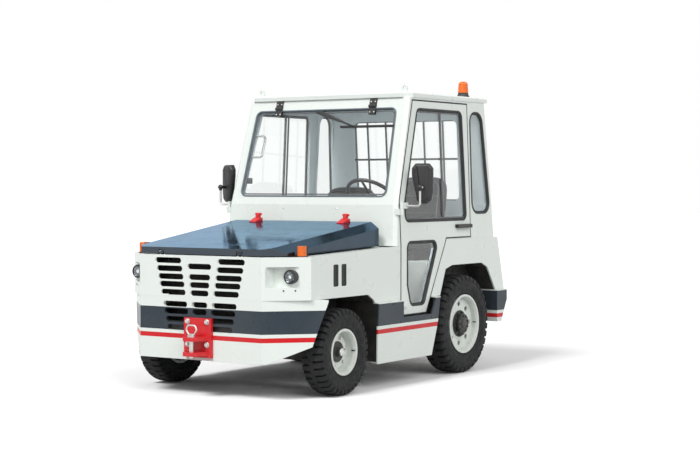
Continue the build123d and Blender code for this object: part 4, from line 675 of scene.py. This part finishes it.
# Wheels: barrel, disc, hub and nuts, each turned about the axle; along is outward from the wheel's middle
def pierced_disc(low, high, inner, outer, holes, hole_at, hole_radius, n=6):
    """A flat ring with round holes, sector by sector: each sector's edge, shrunk to its hole's circle."""
    half = pi / holes
    t = np.linspace(0, 1, n, endpoint=False)
    span = outer - inner
    reach = np.concatenate([inner + 0 * t, inner + span * t, outer + 0 * t, outer - span * t])
    angle = np.concatenate([(2 * t - 1) * half, half + 0 * t, (1 - 2 * t) * half, 0 * t - half])
    edge = reach[:, None] * np.stack([np.cos(angle), np.sin(angle)], axis=1)
    middle = np.array((hole_at, 0.0))
    circle = middle + hole_radius * unit(edge - middle)
    m = 4 * n
    rows = [np.column_stack([np.full(m, along), flat]) for along, flat in
            ((high, edge), (high, circle), (low, circle), (low, edge))]
    points, faces = grid(np.array(rows), wrap_v=True)
    walls = [[i, (i + 1) % m, 3 * m + (i + 1) % m, 3 * m + i] for i in [*range(n), *range(2 * n, 3 * n)]]
    return turned_copies((points, faces + walls), np.arange(holes) * 2 * half)


def about_axle(profile, corner):
    """A closed (along, radius) outline, its corners rounded except on the axle, turned about +X."""
    profile = np.asarray(profile, float)
    radii = np.where(profile[:, 1] > 0.001, corner, 0.0)
    return lathe(rounded(profile, radii, 3), (0, 0, 0), (1, 0, 0), 72, closed=True)


def ring_of_heads(count, at, along, radius, height, turn):
    """Hexagon heads evenly round the axle."""
    head = hex_head((along, at, 0.0), (1, 0, 0), radius, height)
    return turned_copies(head, turn + np.arange(count) * 2 * pi / count)


def barrel(half, rim):
    """The rim's barrel: a drop centre between two rolled flanges."""
    seat, well = rim - 0.008, rim - 0.022
    return about_axle([(0.008 - half, rim), (0.008 - half, rim - 0.016), (0.030 - half, well - 0.004),
                       (half - 0.030, well - 0.004), (half - 0.008, rim - 0.016), (half - 0.008, rim),
                       (half - 0.016, rim), (half - 0.018, seat), (0.020, seat), (0.010, well),
                       (-0.010, well), (-0.020, seat), (0.018 - half, seat), (0.016 - half, rim)], 0.0025)


def front_wheel(rim):
    """Barrel with a dished disc, plate hub, grease cap and six nuts."""
    disc = about_axle([(0.004, 0.060), (0.016, 0.060), (0.016, 0.108), (0.006, 0.121), (0.004, 0.133),
                       (-0.008, 0.133), (-0.006, 0.116), (0.004, 0.104)], 0.004)
    hub = about_axle([(-0.038, 0.046), (-0.008, 0.046), (-0.008, 0.078), (0.004, 0.078), (0.004, 0.060),
                      (0.016, 0.060), (0.016, 0.071), (0.022, 0.071), (0.022, 0.036), (0.034, 0.032),
                      (0.0505, 0.032), (0.0505, 0.02405), (-0.038, 0.02405)], 0.0015)
    cap = about_axle([(0.0502, 0.0), (0.0502, 0.027), (0.060, 0.026), (0.064, 0.020), (0.066, 0.010),
                      (0.066, 0.0)], 0.002)
    return joined(barrel(0.0875, rim), disc), hub, cap, ring_of_heads(6, 0.094, 0.016, 0.0105, 0.017, 0.2)


def rear_wheel(rim):
    """Barrel with a flat pierced disc, deep drive hub and two rings of bolts."""
    disc = pierced_disc(0.026, 0.038, 0.0841, 0.199, 8, 0.148, 0.019)
    step = about_axle([(0.0375, 0.100), (0.0375, 0.118), (0.041, 0.116), (0.041, 0.100)], 0.001)
    hub = about_axle([(-0.070, 0.062), (0.014, 0.062), (0.014, 0.102), (0.026, 0.102), (0.026, 0.084),
                      (0.038, 0.084), (0.038, 0.100), (0.048, 0.100), (0.048, 0.062), (0.066, 0.062),
                      (0.066, 0.074), (0.080, 0.074), (0.080, 0.0), (0.060, 0.0), (0.060, 0.04005),
                      (-0.070, 0.04005)], 0.002)
    cap = about_axle([(0.0795, 0.0), (0.0795, 0.036), (0.084, 0.034), (0.086, 0.026), (0.086, 0.0)], 0.0015)
    heads = joined(ring_of_heads(10, 0.086, 0.048, 0.0085, 0.014, 0.1),
                   ring_of_heads(9, 0.059, 0.080, 0.0065, 0.009, 0.3))
    return joined(barrel(0.0975, rim), disc, step), hub, cap, heads


MAKES = ((front_wheel, ZINC), (rear_wheel, DARK_STEEL))
for (end, distance, radius, width, rim), (make, plating) in zip(WHEELS, MAKES):
    shell, hub, cap, heads = make(rim)
    stem = [(0.05, rim - 0.028, 0.0), (0.066, rim - 0.034, 0.0), (0.078, rim - 0.032, 0.0)]
    valve = tube(stem, 0.008, 0.004)
    centre = wheel_middle(distance, radius, width)
    for side_name, side in SIDES:
        label = f"{end}_{side_name}"
        for name, (points, faces), finish, sharp in (
                ("wheel_rim", shell, RIM_PAINT, 35), ("wheel_hub", hub, DARK_STEEL, 35),
                ("hub_cap", cap, plating, 35), ("wheel_nuts", heads, plating, 20),
                ("valve", valve, SEAL_RUBBER, 35)):
            shape = sided((points + centre, faces), side)
            piece(f"{name}_{label}", shape, finish, f"wheel_{label}", "rim_paint", f"rim_{label}",
                  sharp=sharp)

# Grille: black sheets that close both corners behind the slots
corner = facing((0.512, behind(0.146), 0.0), (0, -1, 0))
sheets = joined(slab(box(-0.124, 0.668, 0.088, 0.930, 0.01), 0, 0.003, corner),
                slab(box(-0.105, 0.510, 0.095, 0.645, 0.01), 0, 0.003, corner))
both_sides(("grille_shroud_SIDE", sheets, BLACK_PLASTIC))

# Radiator: upright fins over the core's face
fin = slab(box(-0.0008, 0.506, 0.0008, 0.899, 0.0004, 1), 0, 0.006, facing((0, behind(0.156), 0), (0, -1, 0)),
           0.0003, 1)
piece("radiator_fins", repeated(fin, [(x, 0, 0) for x in np.arange(-0.330, 0.3301, 0.011)]), CORE_FINS,
      slot="radiator_core")

# Headlamps: a dark bowl, a bright bulb shield, a domed lens and a black bezel
LAMP = np.array((0.650, behind(0.128), 0.817))
LENS = 0.0372
radius = np.linspace(0, LENS, 12)
bulge = (radius / LENS) ** 2
bowl = [*zip(-0.0072 + 0.0068 * bulge, radius), (-0.0078, LENS), (-0.0078, 0.0)]
dome = [*zip(0.0012 + 0.0055 * (1 - bulge), radius), (0.0004, LENS), (0.0004, 0.0)]
bezel = rounded([(-0.003, 0.0368), (0.0045, 0.0385), (0.0045, 0.0455), (-0.003, 0.0475)], 0.0015, 3)
shield = [(-0.0070, 0.0), (-0.0070, 0.0125), (-0.002, 0.012), (-0.0005, 0.009), (0.0, 0.0)]
for side_name, side in SIDES:
    for label, profile, finish in (("bowl", bowl, DARK_REFLECTOR), ("bulb_shield", shield, CHROME),
                                   ("lens", dome, CLEAR_LENS), ("bezel", bezel, BLACK_PLASTIC)):
        shape = lathe(profile, LAMP * (side, 1, 1), (0, -1, 0), 64, closed=label == "bezel")
        piece(f"headlamp_{label}_{side_name}", shape, finish, slot="lamp_clear")

# Small screws on the sheet metal: below the lamps, on the cowl, and the panel seams
CORNER_BACK, CORNER_ACROSS = 0.220, 0.242
CORNER_OUT = unit(np.array((CORNER_BACK, -CORNER_ACROSS, 0.0)))
COWL_BACK, COWL_UP = 0.028, 0.287
COWL_OUT = unit(np.array((0, -COWL_UP, COWL_BACK)))


def on_corner(x, z):
    """A place on the nose's slanted left corner."""
    return np.array((x, behind((x - 0.515) * CORNER_BACK / CORNER_ACROSS), z))


def recess_corner(x, z, inwards, upwards, radius=0.021, lap=0.0006):
    """A plate that rounds one corner of the lamp recess's mouth: a square corner less a quarter circle."""
    a = np.linspace(0, pi / 2, 9)
    arc = radius * np.column_stack([inwards * (1 - np.sin(a)), upwards * (1 - np.cos(a))])
    outline = np.concatenate([[(-inwards * lap, -upwards * lap), (inwards * radius, -upwards * lap)], arc,
                              [(-inwards * lap, upwards * radius)]])
    return slab(outline[::inwards * upwards], -0.0300, -0.0003, facing(on_corner(x, z), CORNER_OUT), 0)


def side_screws(*places):
    """Screws at (distance, height) places on the body's left side."""
    return joined(*[screw_head((BODY_HALF, behind(d), z), (1, 0, 0), 0.007, 0.004) for d, z in places])


mouth = joined(*[recess_corner(x, z, inwards, upwards) for x, inwards in ((0.534, 1), (0.700, -1))
                 for z, upwards in ((0.747, 1), (0.882, -1))])
nose_screws = joined(*[screw_head(on_corner(x, 0.727), CORNER_OUT, 0.006, 0.003) for x in (0.622, 0.680)])
seam_screws = side_screws((0.330, 0.690), (0.330, 0.900), (0.900, 0.700), (1.280, 0.640), (1.280, 0.930))
rear_screws = side_screws((2.030, 0.960), (2.420, 0.960), (2.720, 0.930), (2.800, 0.700))
both_sides(("recess_corners_SIDE", mouth, BODY_PAINT, "chassis", "body_paint"),
           ("nose_screws_SIDE", nose_screws, DARK_STEEL, "chassis", "zinc_steel"),
           ("panel_screws_SIDE", seam_screws, BODY_PAINT, "chassis", "zinc_steel"),
           ("fender_screws_SIDE", rear_screws, BODY_PAINT, "chassis", "zinc_steel"))
SCREW_Z = 1.245
cowl_y = behind(COWL + COWL_BACK * (SCREW_Z - BELT_Z) / COWL_UP)
cowl_screws = [screw_head((x, cowl_y, SCREW_Z), COWL_OUT, 0.007, 0.004) for x in (-0.235, 0.235)]
piece("cowl_screws", joined(*cowl_screws), ZINC, slot="zinc_steel")

# Towing jaws: bolts through their back plates
for end, distance, way, half, heights in (("front", -0.022, -1, 0.082, (0.354, 0.506)),
                                          ("rear", 2.907, 1, 0.100, (0.420, 0.501))):
    bolts = [hex_head((x, behind(distance), z), (0, way, 0), 0.0145, 0.017)
             for x in (-half, half) for z in heights]
    piece(f"{end}_jaw_bolts", joined(*bolts), ZINC, slot="zinc_steel", sharp=20)

# Indicators: a black foot and back, and a ribbed amber lens
RIB = 0.0084
for side_name, side in SIDES:
    base = facing((side * 0.6775, behind(0.233), 0.940), (0, 0, 1), (0, 1, 0))
    foot = slab(box(-0.0225, -0.035, 0.0225, 0.035, 0.010), 0, 0.010, base)
    back = slab(box(-0.0225, 0.018, 0.0225, 0.035, 0.006), 0.008, 0.0775, base)
    outline = box(-0.0212, -0.0345, 0.0212, 0.0182, (0.011, 0.011, 0.001, 0.001))
    ribs = [slab(outline, 0.010 + RIB * i, 0.0176 + RIB * i, base, 0.0008, 2) for i in range(8)]
    core = slab(drawn_in(outline, 0.0012), 0.009, 0.076, base)
    for label, shape, finish, slot in (("housing", joined(foot, back), BLACK_PLASTIC, "black_plastic"),
                                       ("lens", joined(core, *ribs), AMBER_LENS, "lamp_amber")):
        piece(f"indicator_{label}_{side_name}", shape, finish, "chassis", slot, "indicators")

# Beacon: a black foot with a bracket ring, and an amber dome with moulded steps
BEACON = (0.622, behind(2.462), ROOF_Z)
foot = [(0, 0), (0, 0.050), (0.008, 0.050), (0.014, 0.046), (0.026, 0.040), (0.036, 0.040), (0.036, 0)]
dome = [(0.034, 0.0), (0.034, 0.038)]
for step in range(7):
    low = 0.038 + step * 0.010
    wide = 0.0405 - 0.0007 * step
    dome += [(low, wide), (low + 0.0062, wide), (low + 0.0078, wide - 0.0016), (low + 0.0086, wide - 0.0016)]
dome += [(0.109, 0.034), (0.116, 0.029), (0.121, 0.021), (0.1238, 0.010), (0.124, 0.0)]
piece("beacon_foot", lathe(foot, BEACON, (0, 0, 1), 48), BLACK_PLASTIC, "chassis", "black_plastic", "beacon")
piece("beacon_dome", lathe(dome, BEACON, (0, 0, 1), 64), AMBER_LENS, "chassis", "lamp_amber", "beacon")

# Mirrors: a tapered shell on a bent arm with a ball clamp, and the glass let into its back
TOE = radians(25)
MIRROR_DEPTH = 0.046
MIRROR_MIDDLE = np.array((0.868, behind(1.445), 1.427))
MIRROR_OUTLINE = np.array([(77, -60), (77, 110), (50, 144), (-50, 144), (-77, 110), (-77, 60), (-40, -120),
                           (-16, -144), (36, -144), (66, -120)]) / 1000
MIRROR_FRAME = np.array([MIRROR_MIDDLE + MIRROR_DEPTH / 2 * np.array((-sin(TOE), cos(TOE), 0)),
                         (cos(TOE), sin(TOE), 0), (0, 0, 1), (sin(TOE), -cos(TOE), 0)])
outline = rounded(MIRROR_OUTLINE, 0.016, 5)
layers = [(0.003, 0.0), (0.0004, 0.0025)]
layers += [(0.0005 + 0.026 * (1 - cos(a)), 0.020 + 0.0258 * sin(a)) for a in np.linspace(0, pi / 2, 8)]
shell = grid(np.array([placed(drawn_in(outline, inset), depth, MIRROR_FRAME) for inset, depth in layers]),
             wrap_v=True, cap=True)
pane_outline = drawn_in(outline, 0.009)
pane = slab(pane_outline, -0.0006, 0.0012, MIRROR_FRAME, 0.0004, 2)
lip = sweep(placed(pane_outline, 0.0, MIRROR_FRAME), ring_of(0.0022, 8), MIRROR_FRAME[3], closed=True)
ARM_X, ARM_Y, ARM_Z, BALL_Z = 0.891, behind(1.373), 1.268, 1.400
BALL = (ARM_X, ARM_Y, BALL_Z)
arm = tube([(0.783, ARM_Y, ARM_Z), (ARM_X, ARM_Y, ARM_Z), (ARM_X, ARM_Y, BALL_Z - 0.012)], 0.024, 0.008)
turn = np.linspace(0, pi, 14)
ball = lathe(np.column_stack([-0.0195 * np.cos(turn), 0.0195 * np.sin(turn)]), BALL, (0, 1, 0), 32)
sleeve = lathe([(-0.026, 0), (-0.026, 0.011), (-0.006, 0.0125), (-0.006, 0)], BALL, (0, 0, 1), 24)
neck = rod(BALL, (ARM_X, behind(1.430), BALL_Z), 0.011, 20)
clamp_screw = hex_head((ARM_X + 0.019, ARM_Y, BALL_Z), (1, 0, 0), 0.005, 0.005)
both_sides(*[(f"mirror_{label}_SIDE", shape, finish, "door_SIDE", slot, "mirror_SIDE")
             for label, shape, finish, slot in (
    ("shell", joined(shell, lip), BLACK_PLASTIC, "black_plastic"),
    ("glass", pane, MIRROR_SILVER, "zinc_steel"),
    ("arm", joined(arm, clamp_screw), ZINC, "zinc_steel"),
    ("clamp", joined(ball, sleeve, neck), BLACK_PLASTIC, "black_plastic"))])

# Door windows: the frames of two sliding panes, and a light trim inside the seals
SIDE_FRAME = np.array([(BODY_HALF, FACE_Y, BELT_Z), (0, 1, 0), unit(np.array((-SIDE_LEAN, 0, 1))), SIDE_OUT])


def in_side(outline):
    """Side-view (distance, height) points as (across, up) on the cab's leaning side."""
    distance, height = np.asarray(outline, float).T
    return np.column_stack([distance, (height - BELT_Z) * np.hypot(1, SIDE_LEAN)])


def strip(low, high, z_low, z_high, depth=(-0.016, -0.006)):
    """An upright or level window bar on the cab's side."""
    corners = in_side([(low, z_low), (high, z_low), (high, z_high), (low, z_high)])
    return slab(rounded(corners, 0.0015, 2), *depth, SIDE_FRAME, 0.0012, 2)


def trim(outline, at, depth, inwards=0.0135, half=0.003 / 2):
    """A thin round-edged frame on the glass, just inside the seal."""
    route = placed(drawn_in(outline, inwards), -depth + half, at)
    return sweep(route, box(-0.005, -half, 0.005, half, 0.001, 2), at[3], closed=True)


upper = in_side(rounded(DOOR_UPPER, CORNER, 8))
slider = joined(strip(1.955, 1.977, 1.170, 1.956), strip(1.982, 1.996, 1.170, 1.956, (-0.030, -0.022)),
                strip(1.425, 2.272, 1.168, 1.180), strip(1.628, 2.258, 1.944, 1.956),
                trim(upper, SIDE_FRAME, DOOR_GLASS_DEPTH))
both_sides(("window_slider_SIDE", slider, GREY_PLASTIC, "door_SIDE"))
piece("screen_trim", trim(rounded(SCREEN, CORNER, 8), SCREEN_FRAME, GLASS_DEPTH, 0.018), GREY_PLASTIC)

# Windscreen hinge plates and wiper: screws, pivot cap and a sprung arm cover
SCREEN_OUT = SCREEN_FRAME[3]
plate_screws = [screw_head(spot(x + dx, up, 0.009, SCREEN_FRAME), SCREEN_OUT, 0.0055, 0.004)
                for x in (-0.419, 0.419) for dx in (-0.018, 0.018) for up in (0.7005, 0.7790)]
piece("hinge_plate_screws", joined(*plate_screws), ZINC, slot="zinc_steel")
PIVOT = np.array((-0.043, 0.7056))
along, beside = np.array((0.945, -0.328)), np.array((0.328, 0.945))
arm_line = [(-0.020, -0.012), (-0.020, 0.016), (0.060, 0.019), (0.235, 0.008), (0.345, 0.004),
            (0.345, -0.004), (0.235, -0.007), (0.060, -0.015)]
arm_outline = np.array([PIVOT + far * along + off * beside for far, off in arm_line])[::-1]
cover = slab(rounded(arm_outline, 0.004), 0.003, 0.021, SCREEN_FRAME, 0.003)
pivot_cap = screw_head(spot(*PIVOT, 0.012, SCREEN_FRAME) + 0.008 * SCREEN_OUT, SCREEN_OUT, 0.010, 0.005)
piece("wiper_cover", joined(cover, pivot_cap), BLACK_PLASTIC)


# Grab handle: a bent tube with two feet on the right door's slanted front frame
def door_frame_point(height, inwards, back):
    """A place inside the right door, from the middle of its slanted front frame at a height."""
    edge = 1.335 + 0.231 * (height - 1.310) / 0.720
    x = SIDE_LEAN * (height - BELT_Z) + 0.044 + inwards - BODY_HALF
    return np.array((x, behind(edge + 0.042 + back), height))


GRAB_TOP, GRAB_FOOT = 1.790, 1.628
grab = [door_frame_point(*place) for place in ((GRAB_TOP, -0.002, 0.0), (GRAB_TOP, 0.062, 0.060),
                                               (GRAB_FOOT, 0.062, 0.060), (GRAB_FOOT, -0.002, 0.0))]
FOOT_PROFILE = [(0, 0), (0, 0.016), (0.003, 0.016), (0.005, 0.011), (0.005, 0)]
feet = [lathe(FOOT_PROFILE, door_frame_point(z, 0.0, 0.0), (1, 0, 0.04), 20) for z in (GRAB_TOP, GRAB_FOOT)]
piece("grab_handle_tube", joined(tube(grab, 0.024, 0.0085), *feet), ZINC, "door_right", "zinc_steel")

# Latch blocks on the same frame of both doors
for side_name, side in SIDES:
    latch = door_frame_point(1.447, 0.0, 0.030) * (-side, 1, 1)
    block = slab(box(-0.028, -0.022, 0.024, 0.022, 0.005), -0.001, 0.034, facing(latch, (-side, 0, 0)), 0.003)
    piece(f"door_catch_{side_name}", block, GREY_PLASTIC, f"door_{side_name}")

# Hood catches: a low wedge, an upright lever and a cross pin
HOOD_FRONT, HOOD_Z = 0.008, 0.997
HOOD_RISE = (1.156 - HOOD_Z) / (1.200 - HOOD_FRONT)
SIDE_VIEW = np.array([(0, FACE_Y, 0), (0, 1, 0), (0, 0, 1), (1, 0, 0)], float)


def across_body(outline, x_low, x_high, bevel=0.002):
    """A side-view (distance, height) outline between two x places."""
    return slab(outline, x_low, x_high, SIDE_VIEW, bevel)


def hood_height(distance):
    """Top of the hood at a distance behind the face."""
    return HOOD_Z + HOOD_RISE * (distance - HOOD_FRONT)


CATCH_X = 0.388
wedge = across_body(rounded([(1.090, hood_height(1.090) - 0.001), (1.1965, hood_height(1.1965) - 0.002),
                             (1.1965, 1.176), (1.165, 1.176)], 0.003), CATCH_X - 0.030, CATCH_X + 0.030)
lever = across_body(rounded([(1.156, 1.170), (1.196, 1.170), (1.1965, 1.196), (1.188, 1.212), (1.172, 1.212)],
                            0.005), CATCH_X - 0.013, CATCH_X + 0.013)
pin = rod((CATCH_X - 0.027, behind(1.1845), 1.202), (CATCH_X + 0.027, behind(1.1845), 1.202), 0.0085)
both_sides(("hood_catch_SIDE", joined(wedge, lever, pin), RED_PAINT, "hood", "red_paint", "hood_catches"))

# Scuttle panel that closes the gap below the hood's rear edge
scuttle = across_body(box(1.160, 0.970, 1.2615, 0.980, 0.002), -0.620, 0.620)
piece("scuttle_panel", scuttle, BODY_PAINT, slot="body_paint")

# Floor mat: a rubber sheet with cross ribs in the foot well
mat = across_body(box(1.325, 0.5078, 1.760, 0.5115, 0.001), -0.690, 0.690, 0.001)
rib = across_body(rounded([(1.340, 0.511), (1.348, 0.511), (1.347, 0.5135), (1.341, 0.5135)], 0.0008, 1),
                  -0.680, 0.680, 0.0005)
piece("ribbed_floor_mat", joined(mat, repeated(rib, [(0, 0.0165 * i, 0) for i in range(25)])), MAT_RUBBER,
      slot="floor_mat")

# Seats: piping round the faces of the backrests, and two seams across each
for side_name, side, top in SEATS:
    lean = RECLINE / (top - BACK_FOOT)
    tall = (top - BACK_FOOT) * np.hypot(1, lean)
    face = np.array([(side * SEAT_X, behind(2.2165), BACK_FOOT), (1, 0, 0), unit(np.array((0, lean, 1))),
                     unit(np.array((0, -1, lean)))])
    edge = rounded([(-0.180, 0.035), (0.180, 0.035), (0.175, tall - 0.030), (-0.175, tall - 0.030)],
                   (0.03, 0.03, 0.07, 0.07), 8)
    seams = [sweep(placed(edge, -0.0005, face), ring_of(0.0045, 10), face[3], closed=True)]
    for share in (0.36, 0.66):
        line = np.linspace((-0.170, share * tall), (0.170, share * tall), 12)
        seams.append(sweep(placed(line, 0.0002, face), ring_of(0.003, 8), face[3]))
    finish = PIPING_VINYL if side > 0 else SEAT_VINYL
    piece(f"seat_piping_{side_name}", joined(*seams), finish, slot="seat_vinyl")

# Dashboard: two dials with rims and a row of rocker switches, on its slope towards the driver
DASH_FRAME = facing((0.330, behind(1.460), 1.2325), (0, 0.062, 0.120), (0, -1, 0))
for label, x in (("speed", -0.055), ("fuel", 0.055)):
    at = spot(x, 0.0, 0.0, DASH_FRAME)
    ring = lathe(rounded([(-0.004, 0.034), (0.006, 0.035), (0.006, 0.041), (-0.004, 0.042)], 0.001, 2), at,
                 DASH_FRAME[3], 48, True)
    face = lathe([(-0.004, 0), (-0.004, 0.0345), (0.002, 0.0345), (0.002, 0)], at, DASH_FRAME[3], 48)
    pointer = rounded([(-0.001, -0.006), (0.001, -0.006), (0.0006, 0.026), (-0.0006, 0.026)], 0.0003, 1)
    needle = slab(pointer + (x, 0.0), 0.002, 0.0035, DASH_FRAME, 0.0003, 1)
    piece(f"{label}_dial_ring", ring, CHROME)
    piece(f"{label}_dial_face", face, BLACK_PLASTIC)
    piece(f"{label}_dial_needle", needle, RED_LENS)
switch = slab(box(-0.009, -0.014, 0.009, 0.014, 0.003, 3), -0.002, 0.006, DASH_FRAME)
switches = repeated(switch, [(-0.16 - 0.028 * i) * DASH_FRAME[1] for i in range(6)])
piece("dash_switches", switches, GREY_PLASTIC)

# Pedals under the dashboard, hung from the bulkhead on flat arms
for label, x, wide in (("brake", 0.300, 0.040), ("drive", 0.430, 0.028)):
    pad = facing((x, behind(1.455), 0.610), (0, 0.8, 0.6))
    plate = slab(box(-wide, -0.045, wide, 0.045, 0.008), 0, 0.010, pad, 0.002)
    half = wide - 0.006
    treads = [slab(box(-half, y - 0.003, half, y + 0.003, 0.001, 2), 0.009, 0.013, pad, 0.001, 2)
              for y in (-0.03, -0.01, 0.01, 0.03)]
    hanger = [(x, behind(1.312), 0.860), (x, behind(1.400), 0.800), (x, behind(1.452), 0.620)]
    piece(f"{label}_pedal", joined(plate, tube(hanger, 0.04, 0.009), *treads), BLACK_PLASTIC)

# Tail lamps: an amber third beside the red, and a black surround
for side_name, side in SIDES:
    line = np.array([(0.560, 0.0517), (0.720, 0.0517), (0.720, 0.1344), (0.560, 0.1344)]) * (-side, 1)
    surround = sweep(placed(rounded(line[::-side], 0.004, 3), 0.012, TAIL_FRAME),
                     box(-0.004, -0.012, 0.003, 0.013, 0.001, 2), TAIL_FRAME[3], closed=True)
    low, high = sorted((-side * 0.566, -side * 0.612))
    amber = slab(box(low, 0.057, high, 0.129, 0.003, 3), 0.018, 0.0235, TAIL_FRAME)
    piece(f"tail_lamp_surround_{side_name}", surround, BLACK_PLASTIC)
    piece(f"tail_lamp_amber_{side_name}", amber, AMBER_LENS, slot="lamp_amber")

# Studio: pale floor, white surroundings, soft light, and the camera at the photograph's view
FLOOR_HALF = 60.0
WORLD_LIGHT = 0.41
floor_mesh = bpy.data.meshes.new("studio_floor")
floor_corners = [(x * FLOOR_HALF, y * FLOOR_HALF, 0) for x, y in ((-1, -1), (1, -1), (1, 1), (-1, 1))]
floor_mesh.from_pydata(floor_corners, [], [(0, 1, 2, 3)])
floor = bpy.data.objects.new("studio_floor", floor_mesh)
bpy.context.scene.collection.objects.link(floor)
floor_finish = Finish("studio_floor_white", (0.86, 0.86, 0.86), 0.9, Specular_IOR_Level=0.0,
                      Emission_Color=(1, 1, 1, 1))
floor_mesh.materials.append(floor_finish.material)
shown = seen(floor_finish.tree)
floor_finish.feed("Base Color", floor_finish.blend(shown, (0.45, 0.45, 0.45), (1.0, 1.0, 1.0)))
floor_finish.feed("Emission Strength", floor_finish.between(shown, 0.0, 1.0, 0.0, 0.01))

world = bpy.data.worlds.new("studio_surroundings")
bpy.context.scene.world = world
world.use_nodes = True
sky = world.node_tree.nodes["Background"]
sky.inputs["Color"].default_value = (1, 1, 1, 1)
inputs = {"Value": seen(world.node_tree), "To Min": WORLD_LIGHT, "To Max": 1.0}
level = add_node(world.node_tree, "ShaderNodeMapRange", inputs)
world.node_tree.links.new(level.outputs["Result"], sky.inputs["Strength"])

# Lamps: name, strength, angular size, tilt from above, compass turn
LAMPS = (("key_light", 2.25, 20, 40, -8), ("fill_light", 1.50, 45, 56, 68))
for name, strength, size, tilt, turn in LAMPS:
    lamp = bpy.data.lights.new(name, "SUN")
    lamp.energy = strength
    lamp.angle = radians(size)
    holder = bpy.data.objects.new(name, lamp)
    holder.rotation_euler = (radians(tilt), 0, radians(turn))
    bpy.context.scene.collection.objects.link(holder)

camera_data = bpy.data.cameras.new("photograph_view")
camera_data.lens = 84.01
camera_data.sensor_width = 36.0
camera = bpy.data.objects.new("photograph_view", camera_data)
camera.location = (6.8428, -9.9810, 1.4221)
camera.rotation_euler = (radians(90 - 1.710), 0, radians(33.463))
bpy.context.scene.collection.objects.link(camera)
bpy.context.scene.camera = camera
bpy.context.scene.view_settings.view_transform = "Standard"
